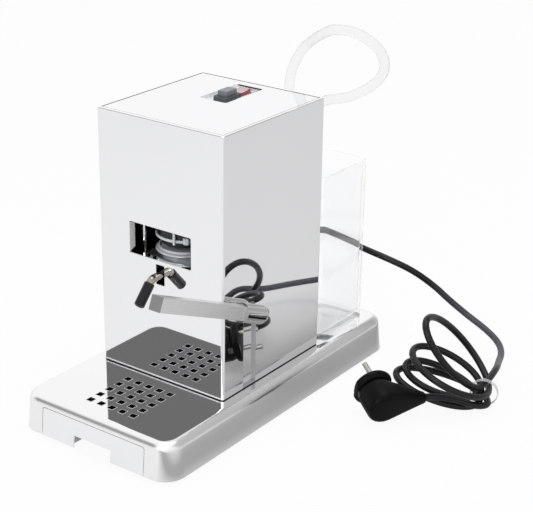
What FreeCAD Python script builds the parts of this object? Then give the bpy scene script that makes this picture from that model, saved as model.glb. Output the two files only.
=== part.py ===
import FreeCAD, Part
import math
import os

# Pod espresso machine with a side lever, a drip tray, a water vessel and a mains lead.
# Millimetres, +Z up, front towards -Y. It is drawn from the middle of the base. At the end the whole is
# moved so that the origin is on the table, under the middle of the machine's own box.

Vector = FreeCAD.Vector
X_AXIS = Vector(1, 0, 0)
Y_AXIS = Vector(0, 1, 0)
Z_AXIS = Vector(0, 0, 1)

# Fits shared by the pieces
running_gap = 0.05
sliding_gap = 0.4
part_gap = 0.5
seat_gap = 0.3
# How far a cutting shape runs past the face it cuts
over = 1.0

# Base
base_width = 175.0
base_length = 344.0
base_height = 34.5
base_flare = 3.0
base_corner_radius = 20.0
base_top_radius = 8.0
base_wall = 1.5
foot_height = 3.0
foot_radius = 8.0
foot_side_inset = 17.5
foot_end_inset = 26.0
foot_recess = 1.8
foot_screw_radius = 1.5
foot_screw_head_radius = 3.0
foot_screw_head_height = 1.2
foot_screw_length = 9.0
post_radius = 4.5
post_lap = 0.5
floor_plate_thickness = 1.5
floor_plate_gap = 0.7
floor_plate_front = -66.0

# Drip tray and its drain grid
tray_side_margin = 28.5
tray_front_height = 27.0
tray_corner_radius = 2.5
tray_length = 98.0
tray_wall = 1.2
tray_floor_lift = 2.5
tray_body_inset = 3.0
tray_front_wall = 5.0
rail_thickness = 1.5
rail_lip = 4.0
rail_front_gap = 12.0
notch_width = 43.0
notch_height = 11.4
notch_pocket_depth = 14.0
notch_pocket_margin = 1.0
bay_margin = 1.0
drain_count = 5
drain_pitch = 12.3
drain_hole = 6.3
drain_middle_y = -119.5

# Casing
casing_width = 140.0
casing_depth = 148.0
casing_height = 243.0
casing_front = -76.5
casing_wall = 1.5
casing_corner_radius = 2.6
casing_edge_radius = 1.0
least_corner_radius = 0.4
seal_thickness = 1.0
seal_width = 1.7
seal_inset = 0.5
hem_thickness = 3.0
hem_height = 9.0
cover_thickness = 1.5
cover_sink = 0.2
cover_gap = 0.8
ledge_width = 5.0
back_flange_width = 12.0
back_panel_thickness = 1.5
back_screw_radius = 1.9
back_screw_head_radius = 3.6
back_screw_head_height = 1.8
back_screw_length = 6.0
back_screw_edge_radius = 0.7
louvre_count = 7
louvre_width = 50.0
louvre_height = 3.2
louvre_pitch = 8.0
louvre_corner_radius = 1.4
louvre_lowest_lift = 167.5
louvre_middle_x = -26.0

# Pod window and spout slot in the front of the casing
window_width = 70.0
window_height = 30.5
window_lift = 114.7
window_corner_radius = 2.0
window_flange_depth = 7.0
window_flange_relief = 4.0
slot_margin = 1.0
slot_corner_radius = 1.0

# Pod holder and its carriage, which rides on four columns
holder_middle_y = -42.0
holder_neck_radius = 16.0
holder_body_radius = 20.0
holder_ring_radius = 26.0
holder_top_radius = 24.0
holder_rest_lift = 98.7
holder_body_height = 14.3
holder_ring_height = 2.0
holder_top_height = 2.7
holder_edge = 0.6
pod_radius = 22.4
pod_depth = 3.0
pod_wall_lean = 1.2
holder_top_chamfer_run = 1.5
holder_top_chamfer_rise = 1.0
drain_bore_radius = 2.2
carriage_thickness = 5.0
carriage_margin = 7.5
carriage_corner_radius = 4.0
column_radius = 2.5
column_half_spacing = 36.5
column_front_y = -55.0
column_back_y = -10.0
bush_wall = 2.0
bush_rise = 3.0

# Spout
spout_tube_radius = 3.8
spout_tube_wall = 0.8
spout_seat_rise = 0.2
spout_knee_reach = 11.7
spout_angle = 47.6
spout_bend_radius = 6.5
spout_straight = 12.8
spout_tip_radius = 4.8
spout_tip_start = 4.0
spout_tip_end = 26.6
spout_tip_hole_radius = 2.4
spout_tip_edge_radius = 0.5
spout_tip_chamfer = 1.2

# Side lever, its shaft and its crank
pivot_y = -38.0
pivot_lift = 73.5
shaft_radius = 6.0
lever_angle = 23.4
lever_reach = 150.0
lever_travel = 28.0
bar_width = 12.0
bar_height = 12.8
bar_edge_radius = 0.8
tenon_radius = 5.0
tenon_length = 12.0
knuckle_radius = 8.8
knuckle_length = 29.0
knuckle_gap = 1.0
shaft_seat_depth = 7.0
bearing_wall = 2.0
bearing_flange_width = 3.0
bearing_flange_thickness = 2.0
shaft_slot_half_width = 9.3
shaft_bracket_x = 47.5
shaft_bracket_thickness = 3.0
shaft_bracket_foot = 16.0
shaft_bracket_margin = 2.0
collar_width = 6.0
collar_wall = 3.0
collar_gap = 1.0
crank_throw = 9.8
crank_pin_radius = 3.0
roller_radius = 5.0
crank_thickness = 6.0
crank_wall = 3.0
crank_pin_overhang = 1.0
yoke_middle_x = 27.0
yoke_thickness = 6.0
yoke_wall = 4.5
yoke_slot_gap = 0.5
yoke_side_gap = 1.0

# Inner frame
frame_thickness = 2.0
frame_front_gap = 12.5
frame_back_gap = 21.5
frame_side_gap = 1.0
frame_rise = 2.5
bridge_thickness = 3.0
bridge_reach = 40.0
bridge_screw_inset = 10.0
bridge_tab_height = 14.0
screw_radius = 2.0
screw_head_radius = 3.8
screw_head_height = 2.4
screw_head_room = 1.0
frame_screw_side_gap = 12.0
frame_screw_front_gap = 19.0
frame_screw_back_gap = 18.0
frame_screw_grip = 6.0

# Brew group
group_radius = 25.0
group_height = 36.0
group_lift = 134.5
piston_radius = 21.0
piston_height = 8.8
gasket_wall = 2.2
gasket_height = 3.0
screen_thickness = 1.2
screen_hole_radius = 0.9
screen_circles = [(5.0, 6), (10.0, 12), (15.0, 18)]
boss_radius = 17.0
boss_height = 12.0
band_wall = 4.0
band_height = 16.0
band_lift = 18.0
thermostat_radius = 6.5
thermostat_height = 7.0
thermostat_x = -8.0
valve_radius = 4.0
valve_height = 14.0
valve_reach = 10.0

# Pump
pump_x = -28.0
pump_back_gap = 13.5
pump_corner_radius = 3.0
pump_coil_side = 40.0
pump_coil_height = 46.0
pump_neck_radius = 8.0
pump_neck_length = 14.0
pump_mount_wall = 5.0
pump_mount_height = 7.0
pump_shelf_lift = 60.0
pump_shelf_inset = 2.0
pump_bracket_thickness = 2.0
pump_bracket_foot = 10.0

# Pipes and the suction hose
pressure_pipe_radius = 2.5
pressure_pipe_bend = 10.0
pipe_x = 6.0
pipe_seat_depth = 6.0
pipe_low_drop = 14.0
pipe_high_rise = 16.0
pipe_riser_x = 14.0
inner_hose_radius = 4.0
inner_hose_bend = 16.0
inner_hose_run = 20.0
inner_hose_drop = 30.0
hose_radius = 4.6
hose_exit_x = 22.0
hose_exit_lift = 206.5
fitting_radius = 6.0
fitting_flange_radius = 8.5
fitting_flange_thickness = 2.0
fitting_length = 8.0
filter_radius = 8.0
filter_height = 16.0
filter_rib_count = 4
filter_rib_pitch = 3.2
filter_rib_start = 3.0
filter_groove_width = 1.4
filter_groove_depth = 0.8

# Switches in the recess of the top cover
switch_middle_x = -3.5
recess_width = 29.0
recess_length = 56.0
recess_middle_y = 29.9
recess_depth = 4.0
recess_corner_radius = 3.0
recess_wall = 1.2
boot_width = 15.8
boot_length = 23.4
boot_height = 4.6
boot_corner_radius = 2.5
boot_edge_radius = 1.0
button_middle_y = 23.8
cap_width = 10.4
cap_length = 16.4
cap_rise = 4.6
cap_corner_radius = 1.5
cap_edge_radius = 0.8
button_travel = 3.0
stem_radius = 2.5
stem_reach = 2.0
brew_blade_reach = 4.0
rocker_width = 11.4
rocker_length = 13.6
rocker_middle_y = 44.6
rocker_rise = 4.4
rocker_tilt = 7.0
rocker_axis_drop = 2.0
rocker_skirt = 1.5
rocker_edge_radius = 0.7
rocker_dish_radius = 45.0
rocker_dish_depth = 0.4
rocker_hub_radius = 3.0
rocker_pin_radius = 1.2
rocker_pin_length = 0.8
rocker_pin_gap = 0.2
rocker_floor_gap = 1.0
pin_cheek_wall = 1.0
pin_cheek_half = 4.0
power_blade_reach = 5.0
rocker_end_gap = 0.7
rim_width = 0.6
rim_height = 0.8
switch_body_height = 18.0
blade_width = 4.8
blade_thickness = 0.8
blade_length = 7.0

# Water vessel
tank_right = 68.0
tank_width = 104.0
tank_depth = 79.0
tank_height = 164.0
tank_wall = 3.0
tank_floor = 7.0
tank_corner_radius = 9.0
tank_rim_radius = 0.9
tank_gap = 4.5

# Mains lead, gland, tie and plug
cord_radius = 3.25
gland_side_gap = 11.0
gland_lift = 79.5
gland_radius = 7.0
gland_end_radius = 4.2
gland_length = 28.0
gland_flange_radius = 8.6
gland_flange_thickness = 2.0
gland_inner_length = 9.0
plug_face_radius = 19.4
plug_face_thickness = 7.0
plug_waist_radius = 16.0
plug_body_radius = 17.0
plug_body_length = 35.0
plug_neck_radius = 8.0
plug_neck_end_radius = 5.0
plug_neck_reach = 42.0
plug_neck_depth = 27.0
plug_pin_radius = 2.4
plug_pin_length = 19.0
plug_pin_spacing = 19.0
plug_pin_seat = 6.0
plug_x = 145.0
plug_y = 49.7
plug_direction = 147.6
plug_rise = 15.5
plug_flat = 17.2
earth_clip_width = 6.0
earth_clip_thickness = 1.2
earth_clip_length = 12.0
earth_clip_inset = 1.6
earth_clip_hook = 4.0
terminal_width = 12.0
terminal_length = 26.0
terminal_height = 18.0
terminal_lift = 34.0
terminal_back_gap = 4.0
# Hank of the lead: its tie, and for each pass of the tie its place, then its way, its rise and half
# its loop's width
hank_lead_in = 2 * cord_radius
hank_near_run = 30.0
hank_point_step = 1.5
lead_last_run = 20.0
tie_x = 224.1
tie_y = 121.7
tie_way = -70.5
tie_wall = 0.9
tie_height = 5.0
tie_inner_radius = 12.3
tie_lift = 13.8
strand_pitch = 7.4
lowest_strand = 6.4
strand_places = [(0.5, 2), (0, 1), (1, 1), (1, 0), (0, 0)]
strand_ways = [
    (-86.6, -14.6, 22.2),
    (-71.5, 6.1, 39.1),
    (-87.7, -24.8, 18.5),
    (-53.8, -19.7, 20.8),
    (-59.6, 2.5, 28.4),
]
# Half length, direction and rise of each loop
loop_reaches = [
    (45.8, 214.7, 50.5),
    (38.5, 205.3, 27.9),
    (37.0, 202.4, 17.0),
    (42.4, 208.0, 13.8),
]

# Heights and places that several pieces share
base_bottom = foot_height
base_top = base_bottom + base_height
casing_bottom = base_top + seal_thickness
casing_top = casing_bottom + casing_height
casing_back = casing_front + casing_depth
casing_middle_y = casing_front + casing_depth / 2
cover_top = casing_top - cover_sink
cover_bottom = cover_top - cover_thickness
recess_top = cover_top - recess_depth
recess_bottom = recess_top - recess_wall
frame_floor_top = base_top + frame_thickness
side_plate_x = casing_width / 2 - casing_wall - frame_side_gap
frame_front = casing_front + frame_front_gap
frame_back = casing_back - frame_back_gap
frame_screw_x = casing_width / 2 - frame_screw_side_gap
frame_screw_front_y = frame_front + frame_screw_front_gap
frame_screw_back_y = frame_back - frame_screw_back_gap
bridge_back = holder_middle_y + bridge_reach
pump_y = casing_back - pump_back_gap - pump_coil_side / 2
tray_front_width = base_width - 2 * tray_side_margin
pivot_z = base_top + pivot_lift
knuckle_x = casing_width / 2 + knuckle_gap + knuckle_radius
holder_bottom = base_top + holder_rest_lift
carriage_top = holder_bottom + carriage_thickness
holder_ring_bottom = carriage_top + holder_body_height
holder_top_bottom = holder_ring_bottom + holder_ring_height
holder_top = holder_top_bottom + holder_top_height
spout_z = holder_bottom + spout_tube_radius + spout_seat_rise
carriage_travel = crank_throw * math.radians(lever_travel)
group_bottom = base_top + group_lift
group_top = group_bottom + group_height
piston_bottom = group_bottom - piston_height
tank_left = tank_right - tank_width
tank_front = casing_back + tank_gap
tank_top = base_top + tank_height
tank_middle_x = tank_right - tank_width / 2
tank_middle_y = tank_front + tank_depth / 2
gland_x = tank_left - gland_side_gap
gland_z = base_top + gland_lift
hose_exit_z = base_top + hose_exit_lift


os.makedirs("parts", exist_ok=True)


# Shapes used by more than one piece
def block(x0, x1, y0, y1, z0, z1):
    return Part.makeBox(x1 - x0, y1 - y0, z1 - z0, Vector(x0, y0, z0))


def rod(radius, start, end):
    start = Vector(*start)
    way = Vector(*end) - start
    return Part.makeCylinder(radius, way.Length, start, way)


def taper(start_radius, end_radius, start, end):
    start = Vector(*start)
    way = Vector(*end) - start
    return Part.makeCone(start_radius, end_radius, way.Length, start, way)


def circles_round(shape, point):
    return [edge for edge in shape.Edges if edge.Curve.TypeId == "Part::GeomCircle"
            and edge.Curve.Center.distanceToPoint(Vector(*point)) < running_gap]


def tube_ring(outer, inner, start, end):
    return rod(outer, start, end).cut(rod(inner, start, end))


def rounded_wire(width, length, radius, z, middle_x=0.0, middle_y=0.0):
    # Four arcs and the straight sides between them, anticlockwise from the right
    x = width / 2 - radius
    y = length / 2 - radius
    centres = [(x, y), (-x, y), (-x, -y), (x, -y)]
    arcs = []
    for quarter, (cx, cy) in enumerate(centres):
        centre = Vector(middle_x + cx, middle_y + cy, z)
        angles = [math.radians(90 * quarter + turn) for turn in (0, 45, 90)]
        arcs.append([centre + Vector(radius * math.cos(a), radius * math.sin(a), 0) for a in angles])
    edges = []
    for quarter, arc in enumerate(arcs):
        edges.append(Part.Arc(*arc).toShape())
        edges.append(Part.LineSegment(arc[2], arcs[(quarter + 1) % 4][0]).toShape())
    return Part.Wire(edges)


def rounded_block(width, length, radius, z0, z1, middle_x=0.0, middle_y=0.0):
    face = Part.Face(rounded_wire(width, length, radius, z0, middle_x, middle_y))
    return face.extrude(Vector(0, 0, z1 - z0))


def edges_along(shape, axis):
    found = []
    for edge in shape.Edges:
        way = edge.valueAt(edge.LastParameter) - edge.valueAt(edge.FirstParameter)
        if way.Length > 0.01 and way.cross(axis).Length < 0.001 * way.Length:
            found.append(edge)
    return found


def edges_at_height(shape, z):
    found = []
    for edge in shape.Edges:
        if abs(edge.BoundBox.ZMin - z) < 0.001 and abs(edge.BoundBox.ZMax - z) < 0.001:
            found.append(edge)
    return found


def rounded_along(shape, axis, radius):
    return shape.makeFillet(radius, edges_along(shape, axis))


def extruded(points, way):
    corners = [Vector(*point) for point in points]
    face = Part.Face(Part.makePolygon(corners + [corners[0]]))
    return face.extrude(Vector(*way))


def revolved(profile, middle_x, middle_y):
    # The profile is a closed list of (radius, height) corners round a vertical axis
    corners = [Vector(middle_x + radius, middle_y, z) for radius, z in profile]
    face = Part.Face(Part.makePolygon(corners + [corners[0]]))
    return face.revolve(Vector(middle_x, middle_y, 0), Z_AXIS, 360)


def joined(shapes):
    whole = shapes[0]
    if len(shapes) > 1:
        whole = whole.fuse(shapes[1:])
    return whole.removeSplitter()


made = {}


def save(name, shape):
    made[name] = shape


# A route of straight runs joined by tangent arcs
def route(points, bend=None):
    corners = [Vector(*point) for point in points]
    edges = []
    radii = []
    start = corners[0]
    for before, corner, after in zip(corners, corners[1:], corners[2:]):
        back = before - corner
        forth = after - corner
        shorter = min(back.Length, forth.Length)
        half_turn = (math.pi - back.getAngle(forth)) / 2
        radius = bend if bend else 0.45 * shorter / math.tan(half_turn)
        reach = radius * math.tan(half_turn)
        back.normalize()
        forth.normalize()
        inward = back + forth
        inward.normalize()
        arc_start = corner + back * reach
        arc_end = corner + forth * reach
        middle = corner + inward * (radius / math.cos(half_turn) - radius)
        edges.append(Part.LineSegment(start, arc_start).toShape())
        edges.append(Part.Arc(arc_start, middle, arc_end).toShape())
        radii.append(radius)
        start = arc_end
    edges.append(Part.LineSegment(start, corners[-1]).toShape())
    return Part.Wire(edges), radii


def swept(wire, radius):
    first = wire.OrderedEdges[0]
    start = first.valueAt(first.FirstParameter)
    way = first.tangentAt(first.FirstParameter)
    section = Part.Wire(Part.makeCircle(radius, start, way))
    shell = Part.BRepOffsetAPI.MakePipeShell(wire)
    shell.add(section)
    shell.build()
    shell.makeSolid()
    return shell.shape()


def tube(name, points, radius, bend=None):
    wire, radii = route(points, bend)
    solid = swept(wire, radius)
    share = solid.Volume / (math.pi * radius ** 2 * wire.Length)
    print("%s: length %.1f mm, volume over section times length %.4f" % (name, wire.Length, share))
    if bend is None:
        print("    bend radii in mm:", " ".join("%.0f" % value for value in radii))
    return solid


# Base: a stamped pan with leaning walls, open underneath
def pan_solid(inset, bottom, top):
    low = rounded_wire(base_width - 2 * inset, base_length - 2 * inset, base_corner_radius - inset,
                       bottom)
    narrower = inset + base_flare
    high = rounded_wire(base_width - 2 * narrower, base_length - 2 * narrower,
                        base_corner_radius - narrower, top)
    solid = Part.makeLoft([low, high], True, True)
    return solid.makeFillet(base_top_radius - inset, edges_at_height(solid, top))


pan_outside = pan_solid(0.0, base_bottom, base_top)
pan_inside = pan_solid(base_wall, base_bottom, base_top - base_wall)
pan_shell = pan_outside.cut(pan_inside)
pan_ceiling = base_top - base_wall
front_edge = -base_length / 2


def tray_outline(inset):
    half = tray_front_width / 2 - inset
    top = base_bottom + tray_front_height - inset
    solid = block(-half, half, front_edge - over, front_edge + base_wall + base_flare + over,
                  base_bottom - tray_corner_radius - over, top)
    return rounded_along(solid, Y_AXIS, tray_corner_radius)


frame_screw_places = []
for side in (-1, 1):
    for y in (frame_screw_front_y, frame_screw_back_y):
        frame_screw_places.append((side * frame_screw_x, y))

drain_holes = []
for row in range(drain_count):
    for column in range(drain_count):
        x = (column - (drain_count - 1) / 2) * drain_pitch
        y = drain_middle_y + (row - (drain_count - 1) / 2) * drain_pitch
        half = drain_hole / 2
        drain_holes.append(block(x - half, x + half, y - half, y + half, pan_ceiling - over,
                                 base_top + over))

frame_screw_holes = []
for x, y in frame_screw_places:
    frame_screw_holes.append(rod(screw_radius + running_gap, (x, y, pan_ceiling - over),
                                 (x, y, base_top + over)))

base_shell = pan_shell.cut([tray_outline(0.0)] + drain_holes + frame_screw_holes)
save("base_shell", base_shell)

# Feet, their screws, and the floor plate with its posts
foot_places = []
for side in (-1, 1):
    for end in (-1, 1):
        foot_places.append((side * (base_width / 2 - foot_side_inset),
                            end * (base_length / 2 - foot_end_inset)))

feet = []
foot_screws = []
posts = []
for x, y in foot_places:
    screw_top = foot_recess + foot_screw_length
    foot = rod(foot_radius, (x, y, 0), (x, y, base_bottom))
    foot = foot.cut(rod(foot_screw_head_radius + running_gap, (x, y, 0), (x, y, foot_recess)))
    foot = foot.cut(rod(foot_screw_radius + running_gap, (x, y, 0), (x, y, base_bottom)))
    feet.append(foot)
    head = rod(foot_screw_head_radius, (x, y, foot_recess - foot_screw_head_height), (x, y, foot_recess))
    foot_screws.append(head.fuse(rod(foot_screw_radius, (x, y, foot_recess), (x, y, screw_top))))
    post = rod(post_radius, (x, y, base_bottom), (x, y, pan_ceiling))
    posts.append(post.cut(rod(foot_screw_radius + running_gap, (x, y, base_bottom),
                              (x, y, screw_top + over))))

save("base_feet", Part.makeCompound(feet))
save("foot_screws", Part.makeCompound(foot_screws))

floor_inset = base_wall + floor_plate_gap
floor_plate = rounded_block(base_width - 2 * floor_inset, base_length - 2 * floor_inset,
                            base_corner_radius - floor_inset, base_bottom,
                            base_bottom + floor_plate_thickness)
bay_half = tray_front_width / 2 + bay_margin
bay = block(-bay_half, bay_half, front_edge - over, floor_plate_front, 0, base_top)
post_bores = [rod(post_radius - post_lap, (x, y, 0), (x, y, base_top)) for x, y in foot_places]
floor_plate = floor_plate.cut([bay] + post_bores)
floor_plate = joined([floor_plate] + [post.common(pan_inside) for post in posts])
save("base_floor_plate", floor_plate)

# Drip tray: a leaning front plate, and a pan whose front wall leans with it
tray_top = base_bottom + tray_front_height - part_gap
tray_floor = base_bottom + tray_floor_lift
tray_half = tray_front_width / 2 - tray_body_inset
tray_back = front_edge + tray_length
notch = block(-notch_width / 2, notch_width / 2, front_edge - over,
              front_edge + base_wall + base_flare + over, base_bottom - over, base_bottom + notch_height)
tray_front = pan_shell.common(tray_outline(sliding_gap)).cut(notch)
save("tray_front", tray_front)

pocket_half = notch_width / 2 + notch_pocket_margin
pocket_back = front_edge + base_wall + notch_pocket_depth
pocket_top = base_bottom + notch_height + notch_pocket_margin
tray_outer = block(-tray_half, tray_half, front_edge, tray_back, tray_floor, tray_top)
tray_outer = tray_outer.common(pan_inside)
tray_outer = tray_outer.cut(block(-pocket_half, pocket_half, front_edge, pocket_back, 0, pocket_top))
tray_inner = block(-tray_half + tray_wall, tray_half - tray_wall, front_edge + tray_front_wall,
                   tray_back - tray_wall, tray_floor + tray_wall, tray_top + over)
tray_inner = tray_inner.cut(block(-pocket_half - tray_wall, pocket_half + tray_wall, front_edge,
                                  pocket_back + tray_wall, 0, pocket_top + tray_wall))
save("tray_pan", tray_outer.cut(tray_inner))

# Rails that hang from the base and carry the tray
rails = []
rail_inner = tray_half + sliding_gap
rail_top = tray_floor - seat_gap
for side in (-1, 1):
    near = side * rail_inner
    far = side * (rail_inner + rail_thickness)
    inside = side * (tray_half - rail_lip)
    y0 = front_edge + rail_front_gap
    leg = block(min(near, far), max(near, far), y0, tray_back, rail_top - rail_thickness, pan_ceiling)
    lip = block(min(inside, far), max(inside, far), y0, tray_back, rail_top - rail_thickness, rail_top)
    rails.append(leg.fuse(lip).removeSplitter())
save("tray_rails", Part.makeCompound(rails))


# Casing: front and sides in one sheet, hem and ledge at the top, flanges behind
def casing_block(inset, z0, z1):
    width = casing_width - 2 * inset
    depth = casing_depth - 2 * inset
    radius = max(casing_corner_radius - inset, least_corner_radius)
    return rounded_block(width, depth, radius, z0, z1, 0.0, casing_middle_y)


seal = casing_block(seal_inset, base_top, casing_bottom)
save("casing_seal", seal.cut(casing_block(seal_inset + seal_width, base_top, casing_bottom)))

inner_half = casing_width / 2 - casing_wall
panel_front = casing_back - back_panel_thickness
hem_bottom = casing_top - hem_height
casing_form = casing_block(0, casing_bottom, casing_top)
casing_form = casing_form.makeFillet(casing_edge_radius, edges_at_height(casing_form, casing_top))
walls = casing_form.cut(casing_block(casing_wall, casing_bottom, casing_top))
walls = walls.cut(block(-inner_half, inner_half, panel_front, casing_back + over, casing_bottom,
                        hem_bottom))
hem = casing_form.common(casing_block(0, hem_bottom, casing_top))
hem = hem.cut(casing_block(hem_thickness, hem_bottom, casing_top))
ledge_bottom = cover_bottom - casing_wall
ledge = casing_block(hem_thickness, ledge_bottom, cover_bottom)
ledge = ledge.cut(casing_block(hem_thickness + ledge_width, ledge_bottom, cover_bottom))
flange_half = inner_half - back_flange_width
flange_low = casing_bottom + back_flange_width
flange_high = hem_bottom - back_flange_width
flange = block(-inner_half, inner_half, panel_front - casing_wall, panel_front, casing_bottom, hem_bottom)
flange = flange.cut(block(-flange_half, flange_half, panel_front - casing_wall - over,
                          panel_front + over, flange_low, flange_high))

window_bottom = casing_bottom + window_lift
window_top = window_bottom + window_height
window_half = window_width / 2
wall_inside = casing_front + casing_wall
flange_end = casing_front + window_flange_depth
window = rounded_along(block(-window_half, window_half, casing_front - over, wall_inside + over,
                             window_bottom, window_top), Y_AXIS, window_corner_radius)


def bent_edge(start, end, away):
    # One flange of the window: full length at the wall, cut back at 45 degrees towards its end
    start = Vector(*start)
    end = Vector(*end)
    along = end - start
    along.normalize()
    inset = Vector(0, flange_end - wall_inside, 0) + along * window_flange_relief
    outset = Vector(0, flange_end - wall_inside, 0) - along * window_flange_relief
    corners = [start + along, end - along, end + outset, start + inset]
    return extruded([tuple(corner) for corner in corners], tuple(Vector(*away) * casing_wall))


window_edges = [
    bent_edge((-window_half, wall_inside, window_bottom), (-window_half, wall_inside, window_top),
              (-1, 0, 0)),
    bent_edge((window_half, wall_inside, window_bottom), (window_half, wall_inside, window_top),
              (1, 0, 0)),
    bent_edge((-window_half, wall_inside, window_bottom), (window_half, wall_inside, window_bottom),
              (0, 0, -1)),
    bent_edge((-window_half, wall_inside, window_top), (window_half, wall_inside, window_top), (0, 0, 1)),
]

slot_half = spout_tube_radius + slot_margin
slot_reach = slot_half + carriage_travel
spout_slot = rounded_along(block(-slot_half, slot_half, casing_front - over, wall_inside + over,
                                 spout_z - slot_reach, spout_z + slot_reach), Y_AXIS,
                           slot_corner_radius)
shaft_slot = block(inner_half - over, casing_width / 2 + over, pivot_y - shaft_slot_half_width,
                   pivot_y + shaft_slot_half_width, casing_bottom - over, pivot_z)
shaft_round = rod(shaft_slot_half_width, (inner_half - over, pivot_y, pivot_z),
                  (casing_width / 2 + over, pivot_y, pivot_z))

back_screw_places = []
for side in (-1, 1):
    for share in (0, 0.5, 1):
        low = casing_bottom + back_flange_width / 2
        high = hem_bottom - back_flange_width / 2
        back_screw_places.append((side * (inner_half - back_flange_width / 2),
                                  low + share * (high - low)))
back_screw_holes = []
for x, z in back_screw_places:
    hole = rod(back_screw_radius + running_gap, (x, panel_front - casing_wall - over, z),
               (x, casing_back + over, z))
    back_screw_holes.append(hole)

casing_shell = joined([walls, hem, ledge, flange] + window_edges)
casing_shell = casing_shell.cut([window, spout_slot, shaft_slot, shaft_round] + back_screw_holes)
save("casing_shell", casing_shell)

# Rear panel with louvres, and its screws
louvres = []
for step in range(louvre_count):
    z = casing_bottom + louvre_lowest_lift + step * louvre_pitch
    louvre = block(louvre_middle_x - louvre_width / 2, louvre_middle_x + louvre_width / 2,
                   panel_front - over, casing_back + over, z, z + louvre_height)
    louvres.append(rounded_along(louvre, Y_AXIS, louvre_corner_radius))
hose_hole = rod(fitting_radius + running_gap, (hose_exit_x, panel_front - over, hose_exit_z),
                (hose_exit_x, casing_back + over, hose_exit_z))
gland_hole = rod(gland_radius + running_gap, (gland_x, panel_front - over, gland_z),
                 (gland_x, casing_back + over, gland_z))
panel_half = inner_half - sliding_gap
rear_panel = block(-panel_half, panel_half, panel_front, casing_back,
                   casing_bottom + sliding_gap, hem_bottom - sliding_gap)
save("rear_panel", rear_panel.cut(louvres + [hose_hole, gland_hole] + back_screw_holes))

back_screws = []
for x, z in back_screw_places:
    head = rod(back_screw_head_radius, (x, casing_back, z), (x, casing_back + back_screw_head_height, z))
    head = head.makeFillet(back_screw_edge_radius,
                           [edge for edge in head.Edges
                            if edge.BoundBox.YMin > casing_back + back_screw_head_height / 2])
    shank = rod(back_screw_radius, (x, casing_back - back_screw_length, z), (x, casing_back, z))
    back_screws.append(head.fuse(shank).removeSplitter())
save("rear_panel_screws", Part.makeCompound(back_screws))

# Top cover, with the recess pressed into it
cover = casing_block(hem_thickness + cover_gap, cover_bottom, cover_top)
recess_hole = rounded_block(recess_width, recess_length, recess_corner_radius, recess_bottom - over,
                            cover_top + over, switch_middle_x, recess_middle_y)
pressed = rounded_block(recess_width + 2 * recess_wall, recess_length + 2 * recess_wall,
                        recess_corner_radius + recess_wall, recess_bottom, cover_bottom,
                        switch_middle_x, recess_middle_y)
pressed = pressed.cut(rounded_block(recess_width, recess_length, recess_corner_radius, recess_top,
                                    cover_top, switch_middle_x, recess_middle_y))
stem_hole = rod(stem_radius + sliding_gap, (switch_middle_x, button_middle_y, recess_bottom - over),
                (switch_middle_x, button_middle_y, recess_top + over))
rocker_room_x = rocker_width / 2 + sliding_gap
rocker_room_y = rocker_length / 2 + rocker_end_gap
neck_x = rocker_room_x + rim_width
neck_y = rocker_room_y + rim_width
rocker_hole = block(switch_middle_x - neck_x, switch_middle_x + neck_x,
                    rocker_middle_y - neck_y, rocker_middle_y + neck_y, recess_bottom - over,
                    recess_top + over)
top_cover = joined([cover.cut(recess_hole), pressed]).cut([stem_hole, rocker_hole])
save("top_cover", top_cover)

# Brew button: rubber boot, cap on a stem, and the switch under them
boot_top = recess_top + boot_height
boot = rounded_block(boot_width, boot_length, boot_corner_radius, recess_top, boot_top,
                     switch_middle_x, button_middle_y)
boot = boot.makeFillet(boot_edge_radius, edges_at_height(boot, boot_top))
boot = boot.cut(rounded_block(cap_width + 2 * sliding_gap, cap_length + 2 * sliding_gap,
                              cap_corner_radius + sliding_gap, recess_top - over, boot_top + over,
                              switch_middle_x, button_middle_y))
save("button_boot", boot)

cap_bottom = recess_top + button_travel + sliding_gap
cap_top = boot_top + cap_rise
cap = rounded_block(cap_width, cap_length, cap_corner_radius, cap_bottom, cap_top,
                    switch_middle_x, button_middle_y)
cap = cap.makeFillet(cap_edge_radius, edges_at_height(cap, cap_top))
stem_end = recess_bottom - stem_reach
stem = rod(stem_radius, (switch_middle_x, button_middle_y, stem_end),
           (switch_middle_x, button_middle_y, cap_bottom))
save("brew_button", cap.fuse(stem).removeSplitter())

blade_half = blade_width / 2


def blades(middle_x, places_y, top):
    pair = []
    for y in places_y:
        pair.append(block(middle_x - blade_half, middle_x + blade_half, y - blade_thickness / 2,
                          y + blade_thickness / 2, top - blade_length, top))
    return pair


brew_body_bottom = recess_bottom - switch_body_height
brew_body = block(switch_middle_x - cap_width / 2, switch_middle_x + cap_width / 2,
                  button_middle_y - cap_length / 2, button_middle_y + cap_length / 2, brew_body_bottom,
                  recess_bottom)
brew_body = brew_body.cut(rod(stem_radius + sliding_gap,
                              (switch_middle_x, button_middle_y, stem_end - button_travel - over),
                              (switch_middle_x, button_middle_y, recess_bottom + over)))
brew_blades = blades(switch_middle_x, (button_middle_y - brew_blade_reach,
                                       button_middle_y + brew_blade_reach), brew_body_bottom)
save("brew_switch_body", joined([brew_body] + brew_blades))

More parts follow.
